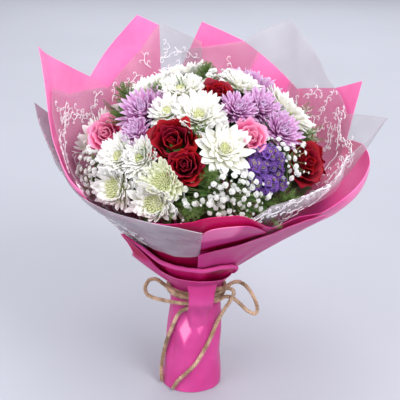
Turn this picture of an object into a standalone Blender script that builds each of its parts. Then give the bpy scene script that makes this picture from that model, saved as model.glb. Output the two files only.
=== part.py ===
"""A hand-tied bouquet of roses, chrysanthemums, baby's breath, sea lavender and fern.

It stands on its cut stems, wrapped in sheets of pink film and clear printed film and
tied with jute twine. Metres, +Z up. The origin is the middle of the foot, on the
surface that it stands on, and the open front of the wrap faces -Y. A bearing is an
angle in degrees seen from above, 0 at the front and growing towards +X. A lean is an
angle in degrees from straight up.
"""

import math
import random

import bmesh
import bpy
from mathutils import Matrix, Vector

# Driving dimensions
HEAD_RADIUS = 0.145
HEAD_RISE = 0.129
HEAD_HEIGHT = 0.272
HEAD_SHIFT = 0.014
FOOT_RADIUS = 0.037
TIE_HEIGHT = 0.131
TWINE_RADIUS = 0.0025
TWINE_STEP = 0.0140
FILM_THICKNESS = 0.0007
CLEARANCE = 0.0004

# The inside of the bowl that the film makes, as height and radius, from neck to shoulder
BOWL = ((0.118, 0.0247), (0.140, 0.0247), (0.200, 0.076), (0.240, 0.124), (0.272, 0.155))
# The foot of the outermost film below the neck, as height and radius
FOOT = ((0.0, FOOT_RADIUS), (0.010, FOOT_RADIUS))
COLUMN_STEP = 9.0
COLLAR_STEP = 12.0
NECK_PITCH = 0.0011
BOWL_PITCH = 0.0022
# The right side of the front film swings out further than the rest
BULGE = 0.038

# Rings of stems as count and radius at the foot, from the middle outwards
STEM_RINGS = ((1, 0.0), (5, 0.0150), (10, 0.0300))
STEM_RADIUS = 0.0038
STEM_TWIST = 50
# Where the stems are pressed together by the tie, outermost radius and height from and to
NECK_RADIUS = 0.0214
NECK_BOTTOM = 0.104
NECK_TOP = 0.150
BRANCH_RADIUS = 0.0016
LEAF_LENGTH = 0.055
BINDING_RADIUS = 0.0010

# Name, kind, bearing, lean and radius in millimetres of everything in the head
HEADS = (
    ("rose_pink_left", "rose", -78, 57, 24),
    ("mum_lilac_left", "mum", -55, 35, 28),
    ("mum_lilac_left_low", "mum", -44, 48, 18),
    ("mum_white_left", "mum", -48, 62, 25),
    ("mum_white_left_inner", "mum", -33, 60, 22),
    ("mum_white_left_low", "mum", -45, 78, 25),
    ("mum_white_front_low", "mum", -22, 81, 25),
    ("mum_green_front", "mum", -19, 69, 21),
    ("mum_white_top", "mum", -38, 16, 24),
    ("mum_white_back", "mum", -98, 25, 21),
    ("mum_white_top_left", "mum", -30, 33, 20),
    ("mum_white_top_right", "mum", -3, 33, 28),
    ("rose_red_main", "rose", -18, 48, 28),
    ("rose_red_low", "rose", -9, 60, 23),
    ("mum_white_open", "mum", 13, 52, 33),
    ("rose_pink_front", "rose", 30, 48, 23),
    ("rose_red_top", "rose", 24, 17, 20),
    ("mum_white_top_far", "mum", 88, 19, 22),
    ("mum_lilac_right", "mum", 33, 31, 21),
    ("mum_lilac_right_far", "mum", 58, 34, 23),
    ("mum_lilac_right_low", "mum", 56, 50, 24),
    ("statice_right", "statice", 34, 65, 26),
    ("rose_red_right", "rose", 67, 71, 26),
    ("gypsophila_right", "gypsophila", 50, 63, 16),
    ("gypsophila_front", "gypsophila", 13, 76, 28),
    ("gypsophila_left", "gypsophila", -68, 75, 20),
    ("fern_front_low", "fern", -6, 82, 16),
    ("fern_front", "fern", 4, 66, 14),
    ("fern_top_left", "fern", -108, 41, 25),
    ("fern_top", "fern", 165, 8, 18),
    ("gypsophila_top", "gypsophila", 125, 17, 18),
    ("fern_right_low", "fern", 42, 84, 20),
    ("mum_white_right_far", "mum", 95, 48, 29),
    ("rose_red_rear_right", "rose", 94, 78, 30),
    ("mum_white_rear_right", "mum", 126, 71, 37),
    ("gypsophila_rear", "gypsophila", 157, 73, 36),
    ("mum_lilac_rear", "mum", -170, 75, 37),
    ("rose_pink_rear", "rose", -134, 79, 31),
    ("mum_white_rear_left", "mum", -100, 72, 37),
    ("mum_lilac_rear_high", "mum", 135, 39, 36),
    ("rose_red_rear_high", "rose", 177, 47, 31),
    ("mum_white_rear_high", "mum", -140, 53, 37),
    ("mum_white_crown", "mum", -156, 23, 33),
)
SEAT_DEPTH = {"rose": 1.15, "mum": 0.85, "statice": 1.2, "gypsophila": 1.5, "fern": 1.6}

# Name, layer, then bearing, rim radius, rim height and hem in millimetres at each corner
SHEETS = (
    ("cellophane_left", 0, (
        (-180, 166, 398, 0), (-162, 176, 423, 0), (-153, 171, 392, 0), (-135, 166, 352, 0),
        (-108, 168, 362, 0), (-90, 172, 384, 0), (-81, 168, 345, 0), (-63, 162, 306, 0), (-54, 158, 292, 0))),
    ("cellophane_right", 1, (
        (18, 161, 284, 0), (27, 161, 295, 14), (45, 163, 298, 21), (63, 164, 299, 21), (72, 172, 318, 0),
        (81, 213, 358, 0), (99, 174, 344, 0), (117, 174, 372, 0), (144, 188, 430, 0), (153, 181, 416, 0),
        (162, 172, 399, 0), (171, 169, 394, 0), (189, 168, 386, 0))),
    ("film_left", 1, (
        (-135, 170, 352, 0), (-126, 172, 370, 0), (-90, 184, 433, 0), (-81, 174, 334, 0),
        (-63, 167, 303, 0), (-54, 164, 294, 0))),
    ("film_rear", 2, (
        (135, 176, 344, 0), (162, 176, 399, 0), (180, 174, 423, 0), (189, 172, 362, 0))),
    ("film_rear_left", 2, (
        (-162, 177, 419, 0), (-153, 181, 434, 0), (-135, 178, 388, 0), (-126, 177, 364, 0),
        (-117, 178, 340, 0))),
    ("film_right", 3, (
        (99, 192, 384, 0), (117, 184, 360, 0), (144, 182, 340, 0))),
    ("film_front", 4, (
        (-108, 167, 285, 0), (-63, 166, 283, 0), (-27, 165, 284, 0), (0, 165, 288, 0), (9, 165, 289, 34),
        (18, 166, 290, 34), (27, 168, 284, 26), (36, 174, 272, 0), (45, 182, 280, 0), (63, 192, 294, 0),
        (81, 197, 303, 0), (99, 197, 305, 0), (117, 188, 296, 0), (144, 178, 286, 0))),
    ("cellophane_front", 5, (
        (-126, 178, 298, 0), (-108, 192, 330, 0), (-99, 206, 357, 0), (-81, 175, 292, 0), (-63, 171, 289, 0),
        (-27, 170, 287, 0), (-9, 169, 281, 0), (0, 168, 275, 0))),
)
# The outermost film goes all the way round the foot. Its collar stands a little off the
# sheets inside it, and has this rim as bearing, then height and hem in millimetres.
COLLAR_LAYER = 6
COLLAR_STAND_OFF = 0.0015
COLLAR = (
    (-180, 152, 0), (-132, 164, 0), (-108, 176, 0), (-96, 190, 0), (-84, 204, 3), (-72, 201, 8),
    (-60, 203, 12), (-48, 204, 14), (-24, 201, 18), (-12, 192, 21), (0, 188, 23), (12, 187, 24),
    (24, 184, 25), (36, 175, 25), (48, 163, 0), (60, 156, 0), (72, 152, 0), (180, 152, 0))
HEM_RADIUS = 0.0045

# Routes of the twine. Near the neck and down the foot they are bearing, radius and height,
# and where the loops leave the neck they are world X, Y and Z.
KNOT = (8, 0.0400, 0.131)
LEFT_LOOP_OUT = ((-5, 0.0408, 0.1345), (-25, 0.0408, 0.1350), (-46, 0.0408, 0.1375))
LEFT_LOOP_FREE = (
    (-0.0335, -0.0190, 0.1425), (-0.0420, -0.0150, 0.1465), (-0.0505, -0.0130, 0.1445),
    (-0.0558, -0.0120, 0.1345), (-0.0538, -0.0120, 0.1250), (-0.0457, -0.0135, 0.1205),
    (-0.0350, -0.0185, 0.1200))
LEFT_LOOP_BACK = ((-46, 0.0408, 0.1225), (-25, 0.0408, 0.1252), (-5, 0.0408, 0.1270))
RIGHT_LOOP_OUT = ((21, 0.0408, 0.1345), (42, 0.0408, 0.1365), (61, 0.0408, 0.1390))
RIGHT_LOOP_FREE = (
    (0.0560, -0.0130, 0.1425), (0.0675, -0.0110, 0.1360), (0.0775, -0.0100, 0.1205),
    (0.0825, -0.0100, 0.1050), (0.0803, -0.0100, 0.0970), (0.0715, -0.0110, 0.1005),
    (0.0611, -0.0125, 0.1115), (0.0520, -0.0150, 0.1210))
RIGHT_LOOP_BACK = ((61, 0.0408, 0.1255), (42, 0.0408, 0.1262), (21, 0.0408, 0.1270))
LEFT_TAIL = (
    (5, 0.0395, 0.1203), (-10, 0.0378, 0.1190), (-24, 0.0364, 0.1140), (-36, 0.0361, 0.105),
    (-48, 0.0369, 0.086), (-62, 0.0379, 0.062), (-71, 0.0391, 0.039), (-74, 0.0402, 0.018),
    (-66, 0.0405, 0.004))
RIGHT_TAIL = (
    (8, 0.0402, 0.1420), (25, 0.0407, 0.1424), (42, 0.0440, 0.1430), (54, 0.0494, 0.1412),
    (61, 0.0515, 0.1360), (64, 0.0508, 0.1290), (63, 0.0468, 0.1190), (59, 0.0405, 0.1060),
    (50, 0.0368, 0.093), (34, 0.0374, 0.075), (18, 0.0382, 0.056), (6, 0.0389, 0.042),
    (-10, 0.0396, 0.029), (-24, 0.0402, 0.017), (-34, 0.0405, 0.004))

COLOURS = {
    "stem": ((0.12, 0.26, 0.06), 0.55),
    "string": ((0.70, 0.66, 0.52), 0.8),
    "cellophane": ((0.72, 0.71, 0.75), 0.15),
    "film": ((0.80, 0.11, 0.36), 0.35),
    "twine": ((0.43, 0.27, 0.16), 0.9),
    "rose_red": ((0.35, 0.003, 0.012), 0.6),
    "rose_pink": ((0.88, 0.15, 0.33), 0.6),
    "mum_white": ((0.86, 0.85, 0.76), 0.6),
    "mum_green": ((0.76, 0.82, 0.55), 0.6),
    "mum_lilac": ((0.62, 0.42, 0.70), 0.6),
    "gypsophila": ((0.90, 0.92, 0.88), 0.7),
    "fern": ((0.10, 0.20, 0.07), 0.6),
    "statice": ((0.13, 0.07, 0.38), 0.7),
}


def new_collection(name):
    collection = bpy.data.collections.new(name)
    bpy.context.scene.collection.children.link(collection)
    return collection


def material(slot):
    found = bpy.data.materials.get(slot)
    if found:
        return found
    colour, roughness = COLOURS[slot]
    made = bpy.data.materials.new(slot)
    made.use_nodes = True
    shader = made.node_tree.nodes["Principled BSDF"]
    shader.inputs["Base Color"].default_value = (*colour, 1)
    shader.inputs["Roughness"].default_value = roughness
    return made


def colour_of(name):
    """The longest colour name that the piece's own name starts with."""
    return max((slot for slot in COLOURS if name.startswith(slot)), key=len)


def solid(name, points, faces, slot, collection):
    """A mesh object whose faces all look outwards."""
    mesh = bpy.data.meshes.new(name)
    shape = bmesh.new()
    made = [shape.verts.new(point) for point in points]
    for face in faces:
        shape.faces.new([made[index] for index in face])
    bmesh.ops.recalc_face_normals(shape, faces=shape.faces)
    shape.to_mesh(mesh)
    shape.free()
    mesh.materials.append(material(slot))
    piece = bpy.data.objects.new(name, mesh)
    collection.objects.link(piece)
    return piece


def fuse(name, core, repeats, slot):
    """One body from a core and the repeats that grow out of it, each (points, faces)."""
    body = solid(name, *core, slot, PARTS)
    bunch = new_collection(name + "_repeats")
    for index, (points, faces) in enumerate(repeats):
        solid("%s_%03d" % (name, index), points, faces, slot, bunch)
    union = body.modifiers.new("union", "BOOLEAN")
    union.operation = "UNION"
    union.operand_type = "COLLECTION"
    union.collection = bunch
    union.solver = "EXACT"
    graph = bpy.context.evaluated_depsgraph_get()
    mesh = bpy.data.meshes.new_from_object(body.evaluated_get(graph))
    body.modifiers.clear()
    body.data = mesh
    mesh.name = name
    for repeat in list(bunch.objects):
        bpy.data.objects.remove(repeat)
    bpy.data.collections.remove(bunch)
    return body


def between(table, at):
    """Straight-line reading of a table of pairs."""
    if at <= table[0][0]:
        return table[0][1]
    for (x0, y0), (x1, y1) in zip(table, table[1:]):
        if at <= x1:
            return y0 + (y1 - y0) * (at - x0) / (x1 - x0)
    return table[-1][1]


def clamp(value):
    return min(max(value, 0.0), 1.0)


def axis_shift(height):
    """The bouquet's axis leans a little to +X between the foot and the head."""
    return HEAD_SHIFT * clamp(height / HEAD_HEIGHT)


def around(bearing, radius, height):
    """A point at a bearing and radius from the leaning axis."""
    angle = math.radians(bearing)
    return Vector((axis_shift(height) + radius * math.sin(angle), -radius * math.cos(angle), height))


def ring_tube(rings, closed_ends=True):
    """A tube skinned over rings that have the same number of points."""
    sides = len(rings[0])
    points = [point for ring in rings for point in ring]
    faces = []
    for row in range(len(rings) - 1):
        for side in range(sides):
            near = row * sides + side
            far = row * sides + (side + 1) % sides
            faces.append((near, far, far + sides, near + sides))
    if closed_ends:
        faces.append(tuple(range(sides)))
        faces.append(tuple(range(len(points) - sides, len(points))))
    return points, faces


def frame_of(direction):
    """Two unit vectors square to a direction and to each other."""
    direction = direction.normalized()
    side = direction.cross(Vector((0, 0, 1)))
    if side.length < 0.1:
        side = direction.cross(Vector((1, 0, 0)))
    side.normalize()
    return side, side.cross(direction)


def rod(path, radii, sides=3):
    """A faceted stem along a path of points, whose section doesn't twist on the way."""
    side = frame_of(path[-1] - path[0])[0]
    rings = []
    for index, point in enumerate(path):
        ahead = (path[min(index + 1, len(path) - 1)] - path[max(index - 1, 0)]).normalized()
        side = (side - ahead * side.dot(ahead)).normalized()
        up = side.cross(ahead)
        ring = []
        for step in range(sides):
            turn = 2 * math.pi * step / sides
            ring.append(point + (side * math.cos(turn) + up * math.sin(turn)) * radii[index])
        rings.append(ring)
    points, faces = ring_tube(rings)
    if len(path) > 2:
        faces = [part for face in faces for part in (halves(face) if len(face) == 4 else [face])]
    return points, faces


def halves(face):
    """A four-cornered face as two triangles."""
    return [(face[0], face[1], face[2]), (face[0], face[2], face[3])]


def skinned(rings):
    """Triangles over rings of equal count, where a first or last ring may be one point."""
    points = [point for ring in rings for point in ring]
    faces = []
    start = 0
    for ring, after in zip(rings, rings[1:]):
        upper = start + len(ring)
        sides = max(len(ring), len(after))
        for side in range(sides):
            across = (side + 1) % sides
            if len(ring) == 1:
                faces.append((start, upper + side, upper + across))
            elif len(after) == 1:
                faces.append((start + side, start + across, upper))
            else:
                faces += halves((start + side, start + across, upper + across, upper + side))
        start = upper
    return points, faces


class Head:
    """One bloom or spray: where it sits on the domed head, and the cell that it may fill."""

    def __init__(self, name, kind, bearing, lean, radius):
        self.name = name
        self.kind = kind
        self.radius = radius / 1000
        self.bearing = bearing
        turn = math.radians(bearing)
        tilt = math.radians(lean)
        out = Vector((math.sin(turn) * math.sin(tilt), -math.cos(turn) * math.sin(tilt), math.cos(tilt)))
        middle = Vector((HEAD_SHIFT, 0, HEAD_HEIGHT))
        self.face = middle + Vector((out.x * HEAD_RADIUS, out.y * HEAD_RADIUS, out.z * HEAD_RISE))
        self.normal = Vector((out.x / HEAD_RADIUS, out.y / HEAD_RADIUS, out.z / HEAD_RISE)).normalized()
        self.depth = self.radius * SEAT_DEPTH[kind]
        self.seat = self.face - self.normal * self.depth
        side, up = frame_of(self.normal)
        axes = Matrix((side, up, self.normal)).transposed()
        self.place = Matrix.Translation(self.seat) @ axes.to_4x4()
        self.planes = []
        self.random = random.Random(name)

    def meet(self, other):
        """Adds the plane where this cell ends and its neighbour's begins."""
        apart = other.face - self.face
        span = apart.length
        if span > 2.2 * (self.radius + other.radius):
            return
        share = (span * span + self.radius ** 2 - other.radius ** 2) / (2 * span)
        normal = apart / span
        self.planes.append((normal, normal.dot(self.face) + share - CLEARANCE))

    def holds(self, point):
        if any(normal.dot(point) > limit for normal, limit in self.planes):
            return False
        radius = math.hypot(point.x - axis_shift(point.z), point.y)
        return radius < between(BOWL, point.z) - 0.0022

    def fit(self, root, shape, least=0.3):
        """The shape in the world, drawn in towards its root until its cell holds all of it."""
        points, faces = shape
        root = self.place @ root
        points = [self.place @ point for point in points]
        size = 1.0
        while size > least:
            drawn = [root + (point - root) * size for point in points]
            if all(self.holds(point) for point in drawn):
                return drawn, faces
            size -= 0.04
        return None


def polar(turn, radius, height):
    return Vector((radius * math.cos(turn), radius * math.sin(turn), height))


def fitted(head, pairs):
    """Every (root, shape) pair that fits its head's cell, in the world."""
    drawn = [head.fit(root, shape) for root, shape in pairs]
    return [shape for shape in drawn if shape]


# Each whorl of petals is a cone: where it meets the axis, the height and reach of its tips,
# and the share of the reach at which two petals part. Heights are shares of the bloom's
# depth, reaches are shares of its radius, and the outermost whorl comes first.
MUM_WHORLS = ((0.46, 0.66, 1.00, 0.46), (0.56, 0.98, 0.80, 0.42), (0.66, 1.08, 0.50, 0.48))
ROSE_WHORLS = ((0.20, 0.76, 1.00, 0.86), (0.30, 0.95, 0.73, 0.82), (0.45, 1.04, 0.42, 0.75))


def whorl_height(whorl, reach):
    """Height of a whorl's cone at a distance from the axis, both as shares."""
    return whorl[0] + (whorl[1] - whorl[0]) * reach / whorl[2]


def layered_bloom(head, whorls, petals, closeness, heart):
    """A bloom whose whorls of petals stand out of one slim core, each petal with a blunt tip.

    A petal's corner that would leave the bloom's cell slides down its cone to the core.
    """
    size = Vector((head.radius, head.radius, head.depth))
    pitch = 2 * math.pi / petals
    spin = head.random.uniform(0, pitch)
    corners = [(index + part) * pitch + spin for index in range(petals) for part in (-0.3, 0.3, 0.5)]
    rims = []
    for number, whorl in enumerate(whorls):
        rim = []
        for index, corner in enumerate(corners):
            wanted = whorl[3] if index % 3 == 2 else 1 - 0.06 * head.random.random()
            turn = corner + number * pitch / 2
            reach = wanted * whorl[2]
            while not head.holds(head.place @ (polar(turn, reach, whorl_height(whorl, reach)) * size)):
                reach -= 0.03 * whorl[2]
            rim.append((turn, reach))
        rims.append(rim)
    rings = [[Vector((0, 0, 0))]]
    rings.append([polar(turn, 0.30 * reach, whorls[0][0] - 0.06) for turn, reach in rims[0]])
    for number, rim in enumerate(rims):
        rings.append([polar(turn, reach, whorl_height(whorls[number], reach)) for turn, reach in rim])
        inner = rims[min(number + 1, len(rims) - 1)]
        ring = []
        for (turn, reach), (next_turn, next_reach) in zip(rim, inner):
            near = closeness * min(reach, next_reach)
            low = whorl_height(whorls[number], near)
            high = whorl_height(whorls[min(number + 1, len(whorls) - 1)], near)
            ring.append(polar((turn + next_turn) / 2, near, (low + high) / 2))
        rings.append(ring)
    rings.append([Vector((0, 0, heart))])
    points, faces = skinned(rings)
    return [head.place @ (point * size) for point in points], faces


def mum(head):
    """A chrysanthemum: three whorls of strap petals round a button."""
    petals = 7 if head.radius > 0.0255 and abs(head.bearing) < 100 else 6 if head.radius > 0.0225 else 5
    solid(head.name, *layered_bloom(head, MUM_WHORLS, petals, 0.34, 0.92), colour_of(head.name), PARTS)


def rose(head):
    """A rose: cupped whorls of broad petals, close together, round a bud."""
    solid(head.name, *layered_bloom(head, ROSE_WHORLS, 5, 0.80, 0.98), colour_of(head.name), PARTS)


def spike(root, tip, width):
    """A three-sided needle."""
    side, up = frame_of(tip - root)
    base = [root + side * width, root + (up - side) * width * 0.7, root - (up + side) * width * 0.7]
    return base + [tip], [(0, 1, 2), (0, 1, 3), (1, 2, 3), (2, 0, 3)]


def floret(centre, radius):
    """A small round floret with eight faces."""
    steps = ((1, 0, 0), (0, 1, 0), (-1, 0, 0), (0, -1, 0), (0, 0, 1), (0, 0, -1))
    points = [centre + Vector(step) * radius for step in steps]
    return points, [(0, 1, 4), (1, 2, 4), (2, 3, 4), (3, 0, 4), (1, 0, 5), (2, 1, 5), (3, 2, 5), (0, 3, 5)]


def gypsophila(head):
    """Baby's breath: a stalk that forks into twigs, each with a round floret at its tip."""
    radius = head.radius
    depth = head.depth
    stalk = rod([Vector((0, 0, 0)), Vector((0, 0, 0.90 * depth))], (0.0017, 0.0012))
    pieces = []
    count = round(8 + 200 * (radius - 0.016))
    for index in range(count):
        turn = index * math.radians(137.5) + head.random.uniform(-0.3, 0.3)
        reach = radius * math.sqrt((index + 0.7) / count)
        fork = Vector((0, 0, depth * (0.66 - 0.40 * index / count)))
        tip = polar(turn, reach, depth * head.random.uniform(0.82, 1.08))
        pieces.append((fork, spike(fork, tip, 0.0009)))
        pieces.append((fork, floret(tip, 0.0040)))
    return stalk, pieces


def fern(head):
    """Plumed fern: a slim stalk with needles all along it."""
    radius = head.radius
    depth = head.depth
    stalk = rod([Vector((0, 0, 0)), Vector((0, 0, 1.02 * depth))], (0.0024, 0.0012))
    needles = []
    count = round(13 + 500 * (radius - 0.014))
    for index in range(count):
        turn = index * math.radians(137.5)
        share = (index + 0.5) / count
        root = Vector((0, 0, depth * (0.42 + 0.50 * share)))
        lift = math.radians(15 + 55 * share)
        out = polar(turn, math.cos(lift), math.sin(lift))
        needles.append((root, spike(root, root + out * radius * (1.1 - 0.35 * share), 0.0008)))
    return stalk, needles


def statice(head):
    """Sea lavender: forked arms set with short flared cups."""
    radius = head.radius
    depth = head.depth
    fork = Vector((0, 0, 0.40 * depth))
    stalk = rod([Vector((0, 0, 0)), Vector((0, 0, 0.9 * depth))], (0.0020, 0.0014))
    pieces = []
    arms = 4
    for arm in range(arms):
        turn = 2 * math.pi * arm / arms + 0.4
        tip = polar(turn, 0.75 * radius, 0.88 * depth)
        pieces.append((fork, spike(fork, tip, 0.0014)))
        for index in range(3):
            base = fork.lerp(tip, 0.45 + 0.50 * index / 2)
            lean = polar(turn + math.radians(-70 + 70 * index), 0.55, 0.8).normalized()
            side, up = frame_of(lean)
            mouth = base + lean * 0.0095
            rim = [mouth + out * 0.0050 for out in (side, up, -side, -up)]
            cup = [base - lean * 0.0010] + rim, [(0, 1, 2), (0, 2, 3), (0, 3, 4), (0, 4, 1), (1, 2, 3, 4)]
            pieces.append((fork, cup))
    return stalk, pieces


SPRAYS = {"gypsophila": gypsophila, "fern": fern, "statice": statice}


def spray(head):
    """A spray, fused from a stalk and what grows on it, all inside the head's cell."""
    stalk, repeats = SPRAYS[head.kind](head)
    fuse(head.name, head.fit(Vector((0, 0, 0)), stalk), fitted(head, repeats), colour_of(head.name))


def make_head(head):
    {"mum": mum, "rose": rose}.get(head.kind, spray)(head)


def pressed_stems():
    """The bunch at the tie, where the stems are pressed into one lobed column."""
    lobes = STEM_RINGS[-1][0]
    rings = []
    for height, share in ((NECK_BOTTOM, 0.96), (NECK_TOP, 1.0)):
        ring = []
        for index in range(2 * lobes):
            reach = NECK_RADIUS * share * (1.0 if index % 2 == 0 else 0.88)
            ring.append(around(180 * index / lobes, reach, height))
        rings.append(ring)
    return ring_tube(rings)


def make_stems(heads):
    """The bunch: cut stems spread below the tie, pressed at it, and forked above it to each head."""
    stems = []
    for count, foot in STEM_RINGS:
        for index in range(count):
            bearing = 360 * index / count
            neck = foot * (NECK_RADIUS * 0.96 - STEM_RADIUS) / STEM_RINGS[-1][1]
            rings = []
            for height, twist, reach in ((0.0, STEM_TWIST, foot), (NECK_BOTTOM + 0.004, 0, neck * 0.97)):
                centre = around(bearing + twist, reach, height)
                rings.append([centre + polar(2 * math.pi * step / 5, STEM_RADIUS, 0) for step in range(5)])
            stems.append(ring_tube(rings))
    for number, head in enumerate(heads):
        end = head.seat - head.normal * CLEARANCE
        spread = 0.75 * NECK_RADIUS * math.hypot(end.x, end.y) / HEAD_RADIUS
        start = around(head.bearing, spread, NECK_TOP - 0.003)
        bend = end - head.normal * (end - start).length * 0.32
        stems.append(rod([start, bend, end], (0.0022, BRANCH_RADIUS, 0.0013)))
        if number % 9 == 0:
            stems.append(leaf(start.lerp(bend, 0.6), (bend - start).normalized(), head.bearing + 90))
    return fuse("stem_bunch", pressed_stems(), stems, "stem")


def leaf(root, along, bearing):
    """A pointed leaf with a keel, growing up and sideways from a branch."""
    angle = math.radians(bearing)
    out = (along + Vector((math.sin(angle), -math.cos(angle), 0)) * 0.6).normalized()
    side, up = frame_of(out)
    outline = ((0.0, 0.0012), (0.40, 0.0095), (0.80, 0.0060))
    rings = [[root - out * 0.002]]
    for share, half in outline:
        middle = root + out * LEAF_LENGTH * share + up * 0.006 * math.sin(math.pi * share)
        rings.append([middle - side * half, middle - up * 0.0016, middle + side * half, middle + up * 0.0002])
    rings.append([root + out * LEAF_LENGTH])
    return skinned(rings)


def make_binding():
    """The string that holds the stems together inside the film."""
    reach = NECK_RADIUS + BINDING_RADIUS + CLEARANCE
    turns = 16
    rings = []
    for step in range(turns):
        bearing = 360 * step / turns
        centre = around(bearing, reach, TIE_HEIGHT)
        out = (around(bearing, reach + 1, TIE_HEIGHT) - centre).normalized()
        up = Vector((0, 0, 1))
        loop = []
        for corner in range(4):
            angle = 2 * math.pi * (corner + 0.5) / 4
            loop.append(centre + (out * math.cos(angle) + up * 3 * math.sin(angle)) * BINDING_RADIUS)
        rings.append(loop)
    points = [point for loop in rings for point in loop]
    faces = []
    for step in range(turns):
        after = (step + 1) % turns
        for corner in range(4):
            across = (corner + 1) % 4
            faces.append((step * 4 + corner, step * 4 + across, after * 4 + across, after * 4 + corner))
    return solid("string_binding", points, faces, "string", PARTS)


def wall_radius(layer, bearing, height):
    """How far out a layer of film lies below the shoulder of the bowl."""
    pitch = NECK_PITCH + (BOWL_PITCH - NECK_PITCH) * clamp((height - 0.140) / 0.090)
    radius = between(BOWL, height) + layer * pitch
    if layer >= 4:
        swing = clamp((bearing - 27) / 45) * clamp((162 - bearing) / 45)
        radius += BULGE * swing * swing * (3 - 2 * swing) * clamp((height - 0.140) / 0.10)
    return radius


def rim_at(stations, bearing):
    """Radius, height and hem of a rim at a bearing."""
    return [between([(row[0], row[item]) for row in stations], bearing) / 1000 for item in (1, 2, 3)]


def hem_points(bearing, below, rim, hem):
    """The hem that is rolled outwards over the rim: half a turn, then straight down outside."""
    rise = (rim - below).normalized()
    out = around(bearing, 1.0, rim.z) - around(bearing, 0.0, rim.z)
    out = (out - rise * out.dot(rise)).normalized()
    centre = rim + out * HEM_RADIUS
    points = []
    for angle in (60, 120, 180):
        turn = math.radians(angle)
        points.append(centre - out * HEM_RADIUS * math.cos(turn) + rise * HEM_RADIUS * math.sin(turn))
    straight = hem - math.pi * HEM_RADIUS
    if straight > 0.001:
        points.append(points[-1] - rise * straight)
    return points


def film_column(layer, rim, bearing, heights, flare):
    """One line of film from its lower edge up to its rim, with its hem."""
    rim_radius, rim_height, hem = rim
    shoulder = BOWL[-1][0]
    column = [around(bearing, wall_radius(layer, bearing, height), height) for height in heights]
    start = heights[-1]
    start_radius = wall_radius(layer, bearing, start)
    for share in (1.0,) if flare == 1 else (0.5, 1.0):
        height = start + (rim_height - start) * share
        if height < shoulder:
            free = wall_radius(layer, bearing, height)
            radius = free + (rim_radius - wall_radius(layer, bearing, rim_height)) * share ** 2
        else:
            radius = start_radius + (rim_radius - start_radius) * share ** flare
        column.append(around(bearing, radius, height))
    if hem > 0.001:
        column += hem_points(bearing, column[-2], column[-1], hem)
    return column


def skin(name, columns, slot, ring):
    """Solid film from columns of points that start level with each other."""
    shape = bmesh.new()
    made = [[shape.verts.new(point) for point in column] for column in columns]
    pairs = list(zip(made, made[1:]))
    if ring:
        pairs.append((made[-1], made[0]))
    for left, right in pairs:
        for row in range(min(len(left), len(right)) - 1):
            corners = (left[row], right[row], right[row + 1], left[row + 1])
            shape.faces.new(corners[:3])
            shape.faces.new((corners[0], corners[2], corners[3]))
    bmesh.ops.delete(shape, geom=[vert for vert in shape.verts if not vert.link_faces], context="VERTS")
    bmesh.ops.recalc_face_normals(shape, faces=shape.faces)
    mesh = bpy.data.meshes.new(name)
    shape.to_mesh(mesh)
    shape.free()
    mesh.materials.append(material(slot))
    piece = bpy.data.objects.new(name, mesh)
    PARTS.objects.link(piece)
    thicken = piece.modifiers.new("thickness", "SOLIDIFY")
    thicken.thickness = FILM_THICKNESS
    thicken.offset = 0
    return piece


def make_sheet(name, layer, stations):
    heights = [height for height, radius in BOWL]
    flare = 2.0 if layer < 2 and name.startswith("cellophane") else 1.0
    first = stations[0][0]
    last = stations[-1][0]
    count = round((last - first) / COLUMN_STEP)
    bearings = [first + (last - first) * step / count for step in range(count + 1)]
    columns = [film_column(layer, rim_at(stations, bearing), bearing, heights, flare) for bearing in bearings]
    return skin(name, columns, colour_of(name), False)


def make_outer_wrap():
    """The outermost film: a tube round the stems, tied at the neck, whose collar rolls outwards."""
    columns = []
    steps = round(360 / COLLAR_STEP)
    for step in range(steps):
        bearing = -180 + 360 * step / steps
        height, hem = [between([(row[0], row[item]) for row in COLLAR], bearing) / 1000 for item in (1, 2)]
        rim = (wall_radius(COLLAR_LAYER, bearing, height) + COLLAR_STAND_OFF, height, hem)
        column = [around(bearing, radius, height) for height, radius in FOOT]
        column += film_column(COLLAR_LAYER, rim, bearing, (0.122, 0.140), 1.0)
        columns.append(column)
    return skin("film_outer_wrap", columns, "film", True)


def smooth_route(route, step):
    """Points of a Catmull-Rom curve through the route, about a step apart."""
    ends = [route[0] * 2 - route[1]] + list(route) + [route[-1] * 2 - route[-2]]
    points = []
    for index in range(1, len(ends) - 2):
        p0, p1, p2, p3 = ends[index - 1:index + 3]
        count = max(1, round((p2 - p1).length / step))
        for part in range(count):
            t = part / count
            points.append(0.5 * ((2 * p1) + (p2 - p0) * t + (2 * p0 - 5 * p1 + 4 * p2 - p3) * t * t
                                 + (3 * p1 - p0 - 3 * p2 + p3) * t ** 3))
    points.append(ends[-2])
    return points


def cord(name, points):
    """Twine as a bevelled open spline with closed ends."""
    curve = bpy.data.curves.new(name, "CURVE")
    curve.dimensions = "3D"
    curve.bevel_depth = TWINE_RADIUS
    curve.bevel_resolution = 2
    curve.use_fill_caps = True
    spline = curve.splines.new("POLY")
    spline.points.add(len(points) - 1)
    for knot, point in zip(spline.points, points):
        knot.co = (*point, 1)
    curve.materials.append(material("twine"))
    piece = bpy.data.objects.new(name, curve)
    PARTS.objects.link(piece)
    return piece


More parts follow.
